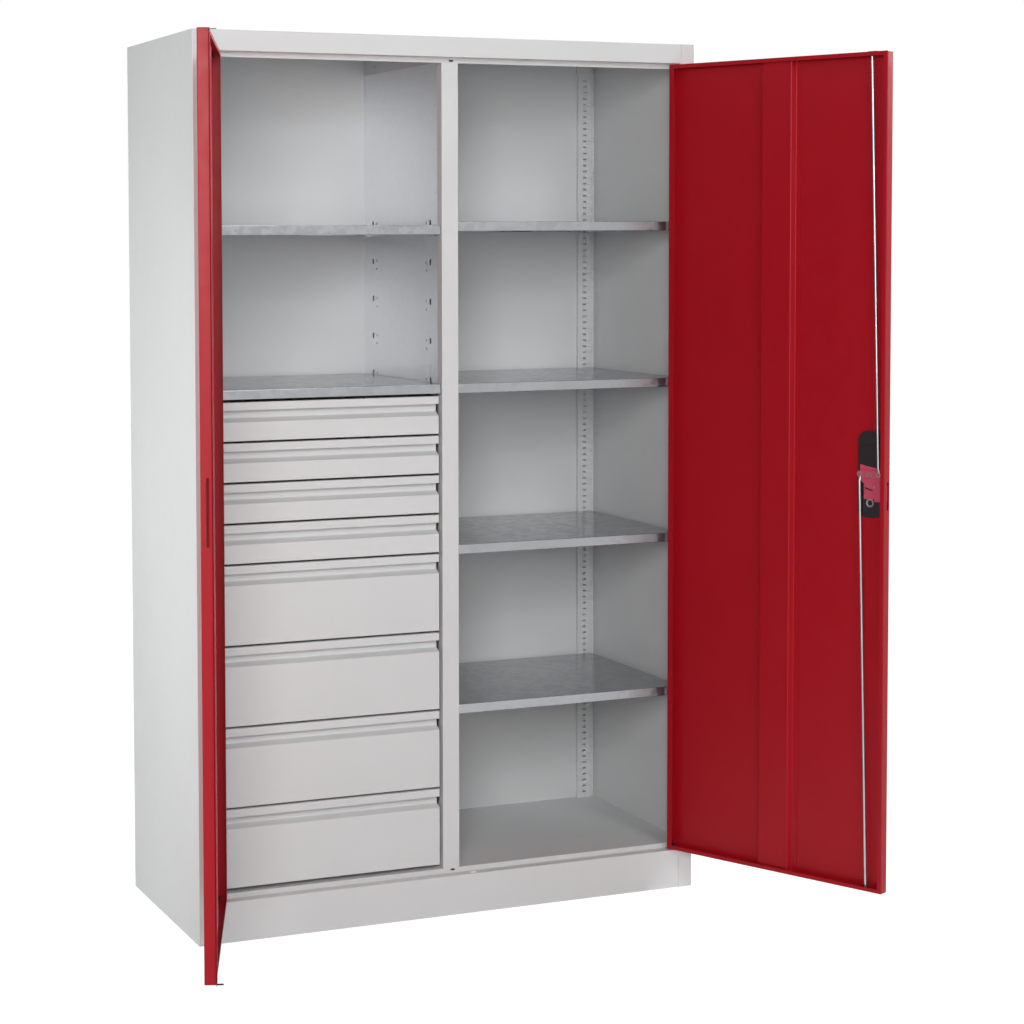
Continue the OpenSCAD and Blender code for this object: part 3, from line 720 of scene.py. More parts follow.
@dataclass
class Carcass:
    """The outer shell: side panels, top, plinth, floor and centre post."""

    half_width: float = 600.0
    front: float = -250.0
    back: float = 250.0
    height: float = 1950.0
    sheet: float = 1.0
    stile: float = 35.0
    rail: float = 44.0
    plinth: float = 89.0
    recess: float = 25.0
    lip: float = 11.0
    back_flange: float = 22.0
    rod_slots: Flat = (42.5, 47.5)
    rod_depth: float = 11.7
    seam: float = 0.7
    post: float = 40.0
    post_depth: float = 24.5
    tongue_x: float = 2.5
    tongue_z: Flat = (96.0, 1900.0)

    @property
    def jamb(self) -> float:
        """Distance from the middle to the inner edge of a stile."""
        return self.half_width - self.stile

    @property
    def lip_y(self) -> float:
        """Depth of the front of the stop lips."""
        return self.front + self.recess

    @property
    def floor_z(self) -> float:
        """Height of the floor's top face."""
        return self.plinth + self.lip

    def side_panel(self, side: Side) -> Piece:
        """Fold a side panel with its stile, jamb and back flange.

        Args:
            side: Left or right.

        Returns:
            The panel.
        """
        h = self.sheet / 2
        wall, jamb = self.half_width - h, self.jamb + h
        path = [(jamb, self.lip_y), (jamb, self.front + h), (wall, self.front + h),
                (wall, self.back - h), (self.half_width - self.back_flange, self.back - h)]
        path = [(side.value * x, y) for x, y in path]
        name = "cabinet_side_" + side.name.lower()
        piece = Bench.folded(name, path, 0, self.height, Along.Z, self.sheet)
        Bench.corners(piece, lambda p: p.z > self.height - 1 and (
            (abs(p.x) < self.jamb + 2 and p.y > self.front + 3)
            or (p.y > self.back - 2 and abs(p.x) < self.half_width - 3)))
        Bench.move((0, 0, -self.sheet))
        low, high = side.span(self.half_width - self.back_flange - 1, self.half_width - 1)
        foot = Bench.block("foot", (low, self.lip_y, 0), (high, self.back - 2, self.sheet))
        return Bench.merge(piece, foot)

    def rod_slot(self, x: float, z: float) -> Piece:
        """Return the shape of the slot for a locking rod, at x in a sheet at height z."""
        piece = Bench.slab("slot", (7.5, 4.5), THROUGH, 4.4)
        return Bench.settle(piece, moved(x, self.front + self.rod_depth, z) @ turned(90, "X"))

    def tongue_slot(self, z: float) -> Piece:
        """Return the shape of the slot for a catch tongue whose middle is at height z."""
        return Bench.block("slot", (self.tongue_x - 5, self.lip_y - 2, z - 2.1),
                           (self.tongue_x + 5, self.lip_y + 6, z + 2.1))

    def top_panel(self) -> Piece:
        """Fold the top with its front rail, underside and stop lip."""
        h = self.sheet / 2
        rail_z = self.height - self.rail
        path = [(self.back, self.height - h), (self.front + h, self.height - h),
                (self.front + h, rail_z + h), (self.lip_y + h, rail_z + h),
                (self.lip_y + h, rail_z - self.lip)]
        reach = self.jamb - self.seam
        piece = Bench.folded("cabinet_top", path, -reach, reach, Along.X, self.sheet)
        Bench.cut(piece, self.rod_slot(self.rod_slots[0], rail_z),
                  self.tongue_slot(self.tongue_z[1]))
        wings = []
        for side in Side:
            low, high = side.span(reach, self.half_width - self.sheet)
            corner = (low, self.front + self.sheet, self.height - self.sheet)
            wings.append(Bench.block("wing", corner, (high, self.back, self.height)))
        return Bench.merge(piece, *wings)

    def plinth_panel(self) -> Piece:
        """Fold the plinth with its ledge and its bottom flange."""
        h = self.sheet / 2
        path = [(self.lip_y, h), (self.front + h, h), (self.front + h, self.plinth - h),
                (self.lip_y + self.sheet, self.plinth - h)]
        reach = self.jamb - self.seam
        piece = Bench.folded("cabinet_plinth", path, -reach, reach, Along.X, self.sheet)
        Bench.cut(piece, self.rod_slot(self.rod_slots[1], self.plinth))
        return piece

    def floor_sheet(self) -> Piece:
        """Fold the floor with the lower stop lip."""
        h = self.sheet / 2
        path = [(self.lip_y + h, self.plinth), (self.lip_y + h, self.floor_z - h),
                (self.back - 2, self.floor_z - h)]
        width = self.half_width - self.sheet
        piece = Bench.folded("cabinet_floor", path, -width, width, Along.X, self.sheet)
        ends = []
        for side in Side:
            low, high = side.span(self.jamb, self.half_width + 50)
            ends.append(Bench.block("end", (low, self.lip_y - 3, self.plinth - 3),
                                    (high, self.lip_y + 3, self.floor_z - 1.5)))
        Bench.cut(piece, self.tongue_slot(self.tongue_z[0]), *ends)
        return piece

    def centre_post(self) -> Piece:
        """Fold the centre post, a channel open to the back."""
        h = self.sheet / 2
        half, front = self.post / 2 - h, self.lip_y + self.sheet + h
        back = front + self.post_depth
        path = [(-half, back), (-half, front), (half, front), (half, back)]
        piece = Bench.folded("centre_post_channel", path, self.floor_z, self.height - self.sheet,
                             Along.Z, self.sheet)
        Bench.cut(piece, self.tongue_slot(self.tongue_z[1]))
        return piece

    def build(self, shop: Shop) -> None:
        """Build and dress the shell.

        Args:
            shop: The finishes.
        """
        for side in Side:
            node = side.name.lower() + "_side_panel"
            shop.deliver(self.side_panel(side), "cabinet", Slot.CARCASS, node)
        for fold, node in ((self.top_panel, "top_panel"), (self.plinth_panel, "plinth"),
                           (self.floor_sheet, "floor_pan"), (self.centre_post, "centre_post")):
            shop.deliver(fold(), "cabinet", Slot.CARCASS, node)
        shop.dress(Slot.CARCASS, "back_panel", "support_channel", "partition_bracket",
                   "rear_upright", "front_upright")
        # The partition sheets, mounting panel and drawer rails take the lighter copy of the
        # galvanised sheet: painted light, for the reflected light on the partition.
        shop.dress(Slot.ZINC, "partition_left_sheet", "partition_right_sheet", "mounting_panel",
                   "drawer_rails", finish=shop.lit_galvanised_copy)
        shop.dress(Slot.STEEL, "shelf_clips", "pivot_pins")


@dataclass
class ShelfSet:
    """The folded shelves of both bays."""

    right_tops: tuple[float, ...] = (467.0, 827.0, 1187.0, 1547.0)
    left_tops: tuple[float, ...] = (1187.5, 1539.5)
    right_span: Flat = (21.0, 588.0)
    left_span: Flat = (-537.5, -21.0)
    depth: Flat = (-219.0, 237.0)
    edge: float = 21.0
    fold: float = 10.0
    sheet: float = 1.0

    def shelf(self, name: str, span: Flat, top: float) -> Piece:
        """Fold a shelf: a pan open below, its front edge turned back under it.

        Args:
            name: The piece's name.
            span: Its left and right ends.
            top: The height of its top face.

        Returns:
            The shelf.
        """
        low_z = top - self.edge
        front, back = self.depth
        piece = Bench.block(name, (span[0], front, low_z), (span[1], back, top))
        Bench.faces(piece, DOWN)
        bpy.ops.mesh.delete(type="ONLY_FACE")
        Bench.edges(piece, lambda a, b: both(a, b, y=front, z=low_z))
        Bench.draw_out((0, self.fold, 0))
        width = span[1] - span[0]
        bpy.ops.transform.resize(value=((width - 3) / width, 1, 1))
        Bench.edges(piece, lambda a, b: both(a, b, z=top) or upright(a, b)
                    or both(a, b, y=front, z=low_z))
        Bench.round_off(1.6)
        Bench.thicken(piece, self.sheet, -1)
        return piece

    def build(self, shop: Shop) -> None:
        """Build and dress every shelf.

        Args:
            shop: The finishes.
        """
        bays = (("right", self.right_span, self.right_tops, ("1", "2", "3", "4")),
                ("left", self.left_span, self.left_tops, ("low", "high")))
        for bay, span, tops, names in bays:
            pieces = [self.shelf(f"{bay}_bay_shelf_{names[0]}", span, tops[0])]
            for name, top in zip(names[1:], tops[1:]):
                twin = Bench.copy(pieces[0], f"{bay}_bay_shelf_{name}")
                pieces.append(Bench.settle(twin, moved(0, 0, top - tops[0])))
            for piece, name in zip(pieces, names):
                shop.deliver(piece, "cabinet", Slot.ZINC, f"{bay}_shelf_{name}")


@dataclass
class DrawerStack:
    """Eight drawers with folded fronts, on rails."""

    left: float = -528.0
    right: float = -28.0
    front: float = -222.0
    back: float = 235.0
    pitch: float = 88.0
    gap: float = 5.0
    top: float = 1165.0
    units: tuple[int, ...] = (1, 1, 1, 1, 2, 2, 2, 2)
    grip: float = 17.0
    groove: float = 26.0
    groove_depth: float = 16.0
    slope: float = 9.0
    runner: float = 7.0
    sheet: float = 1.0

    def foot(self, index: int) -> float:
        """Return the height of the lower edge of a drawer, counted from 0 at the top."""
        return self.top - self.pitch * sum(self.units[: index + 1]) + 1

    def front_panel(self, index: int) -> Piece:
        """Fold a drawer front: face, groove and grip lip.

        Args:
            index: The drawer, from 0 at the top.

        Returns:
            The front.
        """
        h = self.sheet / 2
        height = self.pitch * self.units[index] - self.gap
        face = height - self.grip - self.groove
        y, deep, z = self.front + h, self.front + self.groove_depth + h, self.foot(index)
        path = [(y, z), (y, z + face - h / 2), (deep, z + face + self.slope - h / 2),
                (deep, z + height - h), (y, z + height - h), (y, z + height - self.grip)]
        return Bench.folded(f"drawer_front_{index + 1}", path, self.left, self.right, Along.X,
                            self.sheet, 1.4)

    def tray(self, index: int) -> Piece:
        """Fold a drawer box with a runner along the top of each side.

        Args:
            index: The drawer, from 0 at the top.

        Returns:
            The box.
        """
        z = self.foot(index)
        side = self.pitch * self.units[index] - self.gap - self.grip - self.groove - self.sheet
        start, rim = self.front + self.sheet, z + side
        piece = Bench.block(f"drawer_tray_{index + 1}", (self.left, start, z),
                            (self.right, self.back, rim))
        Bench.faces(piece, UP)
        bpy.ops.mesh.delete(type="ONLY_FACE")
        for wall, step in ((self.left, -self.runner), (self.right, self.runner)):
            Bench.edges(piece, lambda a, b: both(a, b, x=wall, z=rim))
            Bench.draw_out((step, 0, 0))
        Bench.edges(piece, lambda a, b: both(a, b, z=z) or upright(a, b)
                    or both(a, b, x=self.left, z=rim) or both(a, b, x=self.right, z=rim))
        Bench.round_off(1.3)
        Bench.thicken(piece, self.sheet, -1)
        notch = start + self.groove_depth + self.sheet
        Bench.cut(piece, Bench.block("notch", (self.left - 20, start - 9, rim - 1),
                                     (self.right + 20, notch, rim + 9)))
        return piece

    def build(self, shop: Shop) -> None:
        """Build and dress the drawers and the parts inside them.

        Args:
            shop: The finishes.
        """
        models: dict[int, int] = {}
        made: list[tuple[Piece, Piece]] = []
        for index, units in enumerate(self.units):
            first = models.setdefault(units, index)
            if first == index:
                made.append((self.front_panel(index), self.tray(index)))
                continue
            drop = moved(0, 0, self.foot(index) - self.foot(first))
            front, tray = made[first]
            made.append((Bench.settle(Bench.copy(front, f"drawer_front_{index + 1}"), drop),
                         Bench.settle(Bench.copy(tray, f"drawer_tray_{index + 1}"), drop)))
        for index, (front, tray) in enumerate(made):
            body = f"drawer_{index + 1}"
            shop.deliver(front, body, Slot.CARCASS, body + "_front")
            shop.deliver(tray, body, Slot.CARCASS, body + "_box")
        shop.dress(Slot.ZINC, "trough_insert", "insert_dividers")


@dataclass
class Door:
    """A folded door with its stiffener.

    It is drawn with x from the hinge edge, y into the door and z up.
    """

    side: Side
    opened: float
    width: float = 562.0
    thick: float = 23.0
    low: float = 93.0
    high: float = 1903.0
    sheet: float = 1.0
    hinge_lip: float = 14.0
    free_lip: float = 10.0
    end_lip: float = 9.0
    hat: tuple[float, ...] = (226.0, 238.0, 244.0, 319.0, 325.0, 337.0)
    hat_depth: float = 14.0
    slot_y: Flat = (9.0, 17.0)
    slot_z: Flat = (930.0, 1062.0)
    pivot: Flat = (555.5, -245.5)
    pivot_in: float = 7.5
    pivot_back: float = 4.5

    @property
    def body(self) -> str:
        """The body that the door is."""
        return self.side.name.lower() + "_door"

    def hang(self, piece: Piece, before: Matrix | None = None) -> Piece:
        """Hang a piece that was drawn in the door's own frame.

        Args:
            piece: The piece.
            before: A place within the door's frame, applied first.

        Returns:
            The same piece, in its place.
        """
        flip = Matrix.Scale(-1, 4, (1, 0, 0))
        swing = moved(*self.pivot, 0) @ turned(self.opened, "Z")
        swing = swing @ moved(self.pivot_in, -self.pivot_back, 0) @ flip
        if self.side is Side.LEFT:
            swing = flip @ swing
        return Bench.settle(piece, swing if before is None else swing @ before)

    def shell(self) -> Piece:
        """Fold the door's tray with its inner lips."""
        piece = Bench.block(self.body + "_tray", (0, 0, self.low),
                            (self.width, self.thick, self.high))
        Bench.faces(piece, BACK)
        Bench.inset(self.end_lip)
        bpy.ops.mesh.delete(type="ONLY_FACE")
        for inner, edge in ((self.end_lip, self.hinge_lip),
                            (self.width - self.end_lip, self.width - self.free_lip)):
            Bench.corners(piece, lambda p: near(p.x, inner))
            Bench.move((edge - inner, 0, 0))
        rims = {"x": (0, self.width), "y": (0, self.thick), "z": (self.low, self.high)}
        Bench.edges(piece, lambda a, b: sum(
            any(both(a, b, **{axis: rim}) for rim in pair) for axis, pair in rims.items()) >= 2)
        Bench.round_off(1.6)
        Bench.thicken(piece, self.sheet, -1)
        return piece

    def stiffener(self) -> Piece:
        """Fold the hat profile that stiffens the skin."""
        h = self.sheet / 2
        low, top = self.sheet + h, self.hat_depth - h
        path = list(zip(self.hat, (low, low, top, top, low, low)))
        return Bench.folded(self.body + "_hat", path, self.low + 1, self.high - 1, Along.Z,
                            self.sheet, 1.6)

    def openings(self) -> list[Piece]:
        """Return the shapes to cut out of the shell: the slot in the free edge."""
        (front, back), (low, high) = self.slot_y, self.slot_z
        return [Bench.block("slot", (self.width - 3, front, low), (self.width + 3, back, high))]

    def build(self, shop: Shop) -> None:
        """Build and dress the door.

        Args:
            shop: The finishes.
        """
        shell = self.shell()
        Bench.cut(shell, *self.openings())
        shop.deliver(self.hang(shell), self.body, Slot.DOOR, self.body + "_shell")
        hat = self.hang(self.stiffener())
        shop.deliver(hat, self.body, Slot.DOOR, self.body + "_stiffener")
        shop.dress(Slot.PLASTIC, self.body + "_bushes")


@dataclass
class LeftDoor(Door):
    """The door that closes first, with a closing strip and two catches."""

    side: Side = Side.LEFT
    opened: float = 110.2
    strip_out: float = 7.5
    strip_z: Flat = (101.0, 1894.0)
    strip_sheet: float = 1.2
    catch_height: float = 6.0

    def strip(self) -> Piece:
        """Fold the closing strip, stepped behind the other door."""
        near_y, far_y = self.thick + 0.5, self.thick + 1.75
        path = [(self.width - self.free_lip, near_y), (self.width - 1.5, near_y),
                (self.width, far_y), (self.width + self.strip_out - 0.2, far_y)]
        return Bench.folded("closing_strip_fold", path, *self.strip_z, Along.Z,
                            self.strip_sheet, 0.5)

    def catch(self, low: float) -> Piece:
        """Make a catch block.

        Args:
            low: The height of its underside.

        Returns:
            The block.
        """
        high, end = low + self.catch_height, self.width + self.strip_out
        piece = Bench.block("catch_block", (self.width - self.free_lip, self.thick, low),
                            (end, self.thick + 1.5, high))
        Bench.faces(piece, BACK)
        Bench.inset(1.2)
        Bench.cut(piece, Bench.block("clearance", (self.width + 1, self.thick - 1, low - 1),
                                     (end + 1, self.thick + 0.3, high + 1)))
        Bench.ease(piece, 0.3)
        return piece

    def tongue(self, middle: float) -> Piece:
        """Fold a spring tongue with a barb near its tip.

        Args:
            middle: The height of the tongue.

        Returns:
            The tongue.
        """
        start, tip = self.thick + 1.5, self.thick + 14
        path = [(middle, start), (middle, tip - 6), (middle + 0.35, tip - 3.5),
                (middle - 0.2, tip)]
        swap_x_and_z = Matrix(((0, 0, 1, 0), (0, 1, 0, 0), (1, 0, 0, 0), (0, 0, 0, 1)))
        piece = Bench.folded("tongue", path, self.width, self.width + 7, Along.Z,
                             self.strip_sheet, 0.5)
        return Bench.settle(piece, swap_x_and_z)

    def build(self, shop: Shop) -> None:
        """Build and dress the door, its strip and its catches.

        Args:
            shop: The finishes.
        """
        super().build(shop)
        shop.deliver(self.hang(self.strip()), self.body, Slot.DOOR, "closing_strip")
        blocks = Bench.merge(self.catch(self.low), self.catch(self.high - self.catch_height))
        shop.deliver(self.hang(blocks), self.body, Slot.PLASTIC, "left_door_catches")
        half = self.catch_height / 2
        tongues = Bench.merge(self.tongue(self.low + half), self.tongue(self.high - half))
        tongues.name = "catch_spring_tongues"
        shop.deliver(self.hang(tongues), self.body, Slot.PLASTIC, "left_catch_tongues")


@dataclass
class RightDoor(Door):
    """The door with the lock."""

    side: Side = Side.RIGHT
    opened: float = 115.5
    slot_y: Flat = (4.5, 11.8)
    slot_z: Flat = (924.0, 984.0)
    spindle: Flat = (518.0, 999.0)
    rod_depth: float = 11.7
    rod_aside: float = 2.5

    def openings(self) -> list[Piece]:
        """Return the shapes of the tray opening, the bolt slot and the two guide slots."""
        x, z = self.spindle
        hole = Bench.slab("hole", (30.3, 93.8), THROUGH, 22.3)
        shapes = [Bench.settle(hole, moved(x, 0, z)), *super().openings()]
        for level, aside in ((self.high, self.rod_aside), (self.low, -self.rod_aside)):
            guide = Bench.slab("slot", (13, 5), THROUGH, 4.9)
            place = moved(x + aside, self.rod_depth, level) @ turned(90, "X")
            shapes.append(Bench.settle(guide, place))
        return shapes


@dataclass
class Lock:
    """Turn handle, tray, plate, cam, rods, bolt and key cylinder. Drawn round the spindle."""

    door: RightDoor
    throw: float = 23.0
    rod_radius: float = 3.0
    pin_radius: float = 2.5
    pin_top: float = 14.5
    cam_depth: Flat = (8.2, 10.2)
    handle_length: float = 70.0
    rim: Flat = (33.0, 96.5)
    key_drop: float = 62.0
    key_radius: float = 9.0
    plate_depth: Flat = (6.5, 7.7)
    outline: tuple[Flat, ...] = ((-24, 21), (26, 12), (28, -50), (20, -42), (12, -54), (-14, -54),
                                 (-14, -20), (-24, -14))
    bolt_x: Flat = (-30.5, -0.5)
    bolt_y: Flat = (9.5, 11.5)
    bolt_z: Flat = (-58.0, -20.0)

    def fit(self, piece: Piece, before: Matrix | None = None) -> Piece:
        """Fit a piece that was drawn round the spindle.

        Args:
            piece: The piece.
            before: A place within that frame, applied first.

        Returns:
            The same piece, in its place.
        """
        x, z = self.door.spindle
        place = moved(x, 0, z)
        return self.door.hang(piece, place if before is None else place @ before)

    def tray(self) -> Piece:
        """Mould the tray: a rim on the skin, a body behind it and a recess."""
        piece = Bench.slab("lock_tray_moulding", self.rim, (-2.5, 0), 25, 10)
        for towards, width, depth in ((BACK, 3, 6.5), (FRONT, 4.5, 7.5)):
            Bench.faces(piece, towards)
            Bench.inset(width)
            Bench.draw_out((0, depth, 0))
        Bench.ease(piece, 0.7, 3, 50)
        rib = Bench.slab("rib", (21, 2), (6.5, 8), 1.9, 4)
        return Bench.merge(piece, Bench.settle(rib, moved(0, 0, self.key_drop)))

    def handle(self) -> Piece:
        """Mould the turn handle: a round hub and a lever with a crowned face."""
        half = self.handle_length / 2
        piece = Bench.slab("turn_handle_lever", (half, 11), (-14, -4), 10.9, 10)
        Bench.faces(piece, FRONT)
        Bench.inset(3.5)
        Bench.ease(piece, 2.2, 4, 50)
        hub = Bench.barrel("hub", 13, (0, -4.2, 0), (0, 4.5, 0), 48)
        Bench.faces(hub, FRONT)
        Bench.inset(2)
        Bench.ease(hub, 0.5)
        return Bench.merge(piece, hub)

    def cam(self) -> Piece:
        """Make the cam: an oblong plate with two riveted pins."""
        piece = Bench.slab("lock_cam_plate", (self.throw + 8, 8), self.cam_depth, 7.9, 10)
        Bench.ease(piece, 0.3)
        pins = []
        for x in (-self.throw, self.throw):
            pin = Bench.barrel("pin", self.pin_radius, (x, self.cam_depth[1], 0),
                               (x, self.pin_top, 0), 24)
            Bench.faces(pin, BACK)
            Bench.inset(0.6)
            Bench.ease(pin, 0.4)
            pins.append(pin)
        return Bench.merge(piece, *pins)

    def rod(self, name: str, length: float) -> Piece:
        """Make a rod that runs up from its eye.

        Args:
            name: The piece's name.
            length: From the middle of the eye to the tip.

        Returns:
            The rod.
        """
        y = self.door.rod_depth
        piece = Bench.barrel(name, self.rod_radius, (0, y, 14), (0, y, length - 3), 24)
        Bench.faces(piece, UP)
        for step, share in ((2, 0.8), (1, 0.6)):
            Bench.draw_out((0, 0, step))
            bpy.ops.transform.resize(value=(share, share, 1))
        Bench.faces(piece, DOWN)
        Bench.draw_out((0, 0, -4))
        bpy.ops.transform.resize(value=(1.1, 0.4, 1))
        Bench.draw_out((0, 0, -5))
        eye = Bench.barrel("eye", 5.5, (0, y - 1.2, 0), (0, y + 1.2, 0), 36)
        Bench.cut(eye, Bench.barrel("bore", self.pin_radius + 0.05, (0, 9, 0), (0, 14, 0), 24))
        Bench.ease(eye, 0.3)
        return Bench.merge(piece, eye)

    def plate(self) -> Piece:
        """Cut the lock plate, with a slanted slot and the holes of the spindle and the cylinder."""
        piece = Bench.plate("lock_plate_cut", self.outline, self.plate_depth)
        slot = Bench.slab("slot", (10, 1.7), (5.5, 9), 1.6, 4)
        key_z = -self.key_drop
        Bench.cut(piece, Bench.settle(slot, moved(-3, 0, -32) @ turned(14, "Y")),
                  Bench.barrel("hole", 6, (0, 5.5, 0), (0, 9, 0)),
                  Bench.barrel("hole", self.key_radius + 0.1, (0, 5.5, key_z), (0, 9, key_z)))
        Bench.ease(piece, 0.25)
        return piece

    def lever(self) -> Piece:
        """Make the small detent lever on the plate, riveted at one end."""
        piece = Bench.slab("lever", (7.5, 2.6), (7.7, 9.1), 2.5, 6)
        Bench.ease(piece, 0.25)
        rivet = Bench.barrel("rivet", 1.8, (4.8, 9.1, 0), (4.8, 9.9, 0), 24)
        Bench.ease(rivet, 0.3)
        return Bench.settle(Bench.merge(piece, rivet), moved(16, 0, -24) @ turned(-32, "Y"))

    def key_cylinder(self) -> Piece:
        """Turn the key cylinder, with a stepped face, a bored end and a key slot."""
        piece = Bench.barrel("key_cylinder_turned", self.key_radius, (0, -1, 0),
                             (0, self.plate_depth[1], 0), 48)
        for towards, steps in ((FRONT, ((1.4, 0.8),)), (BACK, ((2, -1.2), (2.2, -1.5)))):
            Bench.faces(piece, towards)
            for width, depth in steps:
                Bench.inset(width)
                Bench.draw_out((0, depth, 0))
        Bench.ease(piece, 0.3)
        Bench.cut(piece, Bench.block("slot", (-0.75, -3, -4.5), (0.75, 5.5, 4.5)))
        return piece

    def bolt(self) -> Piece:
        """Make the centre bolt, with a chamfered nose."""
        free = self.door.width - self.door.spindle[0]
        tail, nose = (free + x for x in self.bolt_x)
        piece = Bench.block("latch_bolt_plate", (tail, self.bolt_y[0], self.bolt_z[0]),
                            (nose, self.bolt_y[1], self.bolt_z[1]))
        Bench.edges(piece, lambda a, b: both(a, b, x=nose) and not near(a.y, b.y))
        Bench.round_off(3, 3)
        Bench.ease(piece, 0.3)
        return piece

    def build(self, shop: Shop) -> None:
        """Build and dress the lock.

        Args:
            shop: The finishes.
        """
        x, z = self.throw, self.door.spindle[1]
        up, down = self.door.high - z, z - self.door.low
        rise = moved(x, 0, 0) @ Matrix.Rotation(-math.atan(x / up), 4, "Y")
        fall = moved(-x, 0, 0) @ Matrix.Rotation(math.pi - math.atan(x / down), 4, "Y")
        parts = (
            (self.tray, None, "right_door", Slot.PLASTIC, "lock_tray"),
            (self.handle, None, "handle", Slot.PLASTIC, "turn_handle"),
            (self.cam, None, "handle", Slot.LOCK, "lock_cam"),
            (lambda: self.rod("rod_to_the_top", up - 2), rise, "top_rod", Slot.STEEL, "top_rod"),
            (lambda: self.rod("rod_to_the_floor", down - 2), fall, "bottom_rod", Slot.STEEL,
             "bottom_rod"),
            (self.key_cylinder, moved(0, 0, -self.key_drop), "key_cylinder", Slot.STEEL,
             "key_cylinder"),
            (self.bolt, None, "latch_bolt", Slot.LOCK, "latch_bolt"),
            (self.plate, None, "right_door", Slot.LOCK, "lock_plate"),
        )
        for make, place, body, slot, node in parts:
            shop.deliver(self.fit(make(), place), body, slot, node)
        shop.deliver(self.fit(self.lever()), "right_door", Slot.STEEL)
        shop.dress(Slot.PLASTIC, "rod_guides")
        shop.dress(Slot.STEEL, "lock_spindle")


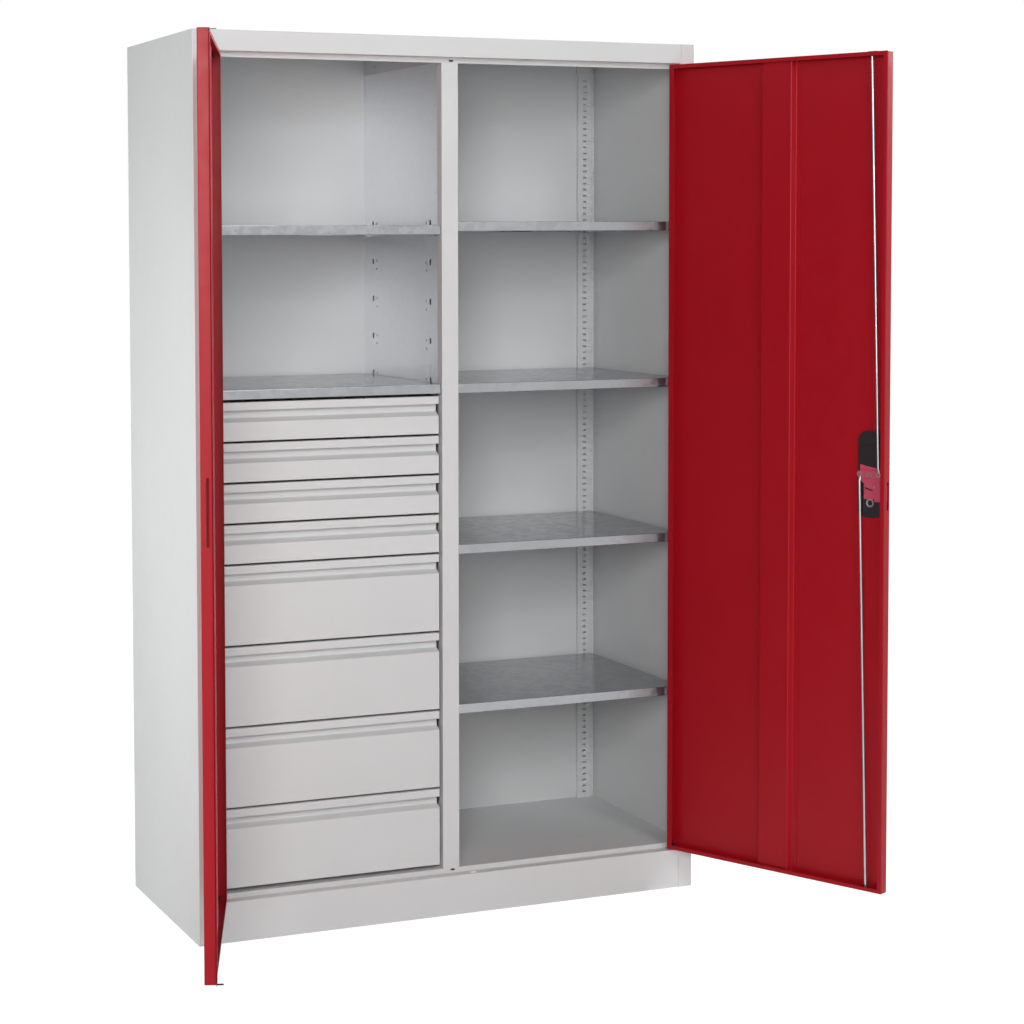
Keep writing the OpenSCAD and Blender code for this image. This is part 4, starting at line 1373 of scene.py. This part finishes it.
@dataclass
class Studio:
    """The pale floor, the soft lamps and the camera at the photo's angle."""

    camera_at: Point = (-2025.67, -4829.45, 1506.74)
    yaw: float = 21.9635
    pitch: float = -3.1721
    roll: float = -0.221
    focal: float = 2272.02
    centre: Flat = (380.0, 366.0)
    frame_size: float = 1024.0
    fill: float = 0.02
    floor_share: float = 0.86
    floor_glow: float = 1.17
    floor_grey: float = 0.86
    lamps: tuple[tuple[str, Point, Point, float, float], ...] = (
        ("key_softbox", (-2.2, -4.6, 2.3), (0, 0, 1.0), 1.5, 118),
        ("high_softbox", (0.6, -4.6, 3.6), (0, 0, 1.0), 1.5, 62),
        ("low_softbox", (-1.9, -5.1, 1.3), (0, 0, 1.0), 1.2, 18),
        ("left_softbox", (-2.1, -0.2, 1.1), (-0.6, -0.1, 1.0), 0.7, 17),
        ("right_softbox", (2.6, -0.36, 2.6), (0.8, -0.75, 1.8), 0.5, 85),
        ("back_softbox", (0.8, 4.6, 2.6), (0, 0.2, 1.0), 1.5, 60),
    )

    def camera(self) -> None:
        """Place the camera."""
        lens = bpy.data.cameras.new("photo_camera")
        camera = bpy.data.objects.new("photo_camera", lens)
        bpy.context.collection.objects.link(camera)
        camera.location = [value * MM for value in self.camera_at]
        look = Euler((math.radians(90 + self.pitch), 0, -math.radians(self.yaw)), "XYZ")
        roll = Matrix.Rotation(math.radians(self.roll), 3, "Z")
        camera.rotation_euler = (look.to_matrix() @ roll).to_euler("XYZ")
        lens.sensor_width = 36
        lens.lens = self.focal / self.frame_size * lens.sensor_width
        lens.shift_x = (self.frame_size / 2 - self.centre[0]) / self.frame_size
        lens.shift_y = (self.centre[1] - self.frame_size / 2) / self.frame_size
        lens.clip_end = 100
        bpy.context.scene.camera = camera

    @staticmethod
    def lamp(name: str, place: Point, target: Point, size: float, power: float) -> None:
        """Hang a square softbox.

        Args:
            name: The lamp's name.
            place: Where it hangs, in metres.
            target: What it points at, in metres.
            size: The length of its sides in metres.
            power: Its power in watts.
        """
        data = bpy.data.lights.new(name, "AREA")
        data.shape = "RECTANGLE"
        data.size = data.size_y = size
        data.energy = power
        lamp = bpy.data.objects.new(name, data)
        bpy.context.collection.objects.link(lamp)
        lamp.location = place
        lamp.rotation_euler = (Vector(target) - Vector(place)).to_track_quat("-Z", "Y").to_euler()

    @staticmethod
    def seen(tree: bpy.types.NodeTree) -> Socket:
        """Tell rays that look at the backdrop, straight, mirrored or through glass, from the rest.

        Args:
            tree: The nodes to add to.

        Returns:
            One for such a ray, otherwise nought.
        """
        path = tree.nodes.new("ShaderNodeLightPath")
        value = path.outputs["Is Camera Ray"]
        for kind in ("Is Glossy Ray", "Is Transmission Ray"):
            larger = add_node(tree, "Math", {0: value, 1: path.outputs[kind]}, operation="MAXIMUM")
            value = larger.outputs["Value"]
        return value

    def world(self) -> None:
        """Fill the room with soft light, and show white behind the object."""
        world = bpy.data.worlds.new("studio")
        bpy.context.scene.world = world
        world.use_nodes = True
        tree = world.node_tree
        glow = tree.nodes["Background"]
        glow.inputs["Color"].default_value = WHITE
        inputs = {"Value": self.seen(tree), "To Min": self.fill, "To Max": 1.0}
        strength = add_node(tree, "MapRange", inputs)
        tree.links.new(strength.outputs["Result"], glow.inputs["Strength"])

    def floor(self) -> None:
        """Lay the floor, pale where it is seen and still taking the shadow."""
        Bench.clear()
        bpy.ops.mesh.primitive_plane_add(size=40, location=(0, 0, -0.001))
        floor = bpy.context.object
        floor.name = "studio_floor"
        material = bpy.data.materials.new("studio_floor_white")
        material.use_nodes = True
        tree = material.node_tree
        shader = tree.nodes["Principled BSDF"]
        grey = self.floor_grey
        shader.inputs["Base Color"].default_value = (grey, grey, grey, 1)
        shader.inputs["Roughness"].default_value = 0.9
        glow = add_node(tree, "Emission", {"Color": WHITE, "Strength": self.floor_glow})
        share = add_node(tree, "Math", {0: self.seen(tree), 1: self.floor_share},
                         operation="MULTIPLY")
        mixer = add_node(tree, "MixShader", {"Fac": share.outputs["Value"],
                                             1: shader.outputs["BSDF"],
                                             2: glow.outputs["Emission"]})
        tree.links.new(mixer.outputs["Shader"], tree.nodes["Material Output"].inputs["Surface"])
        floor.data.materials.append(material)

    def build(self) -> None:
        """Set up the studio."""
        bpy.context.scene.view_settings.view_transform = "Standard"
        self.camera()
        self.world()
        self.floor()
        for lamp in self.lamps:
            self.lamp(*lamp)


def main() -> None:
    """Build every sub-assembly in order."""
    logging.basicConfig(level=logging.INFO, format="%(message)s", stream=sys.stdout)
    shop = Shop()
    Studio().build()
    Carcass().build(shop)
    ShelfSet().build(shop)
    DrawerStack().build(shop)
    LeftDoor().build(shop)
    right = RightDoor()
    right.build(shop)
    Lock(right).build(shop)


if __name__ == "__main__":
    main()
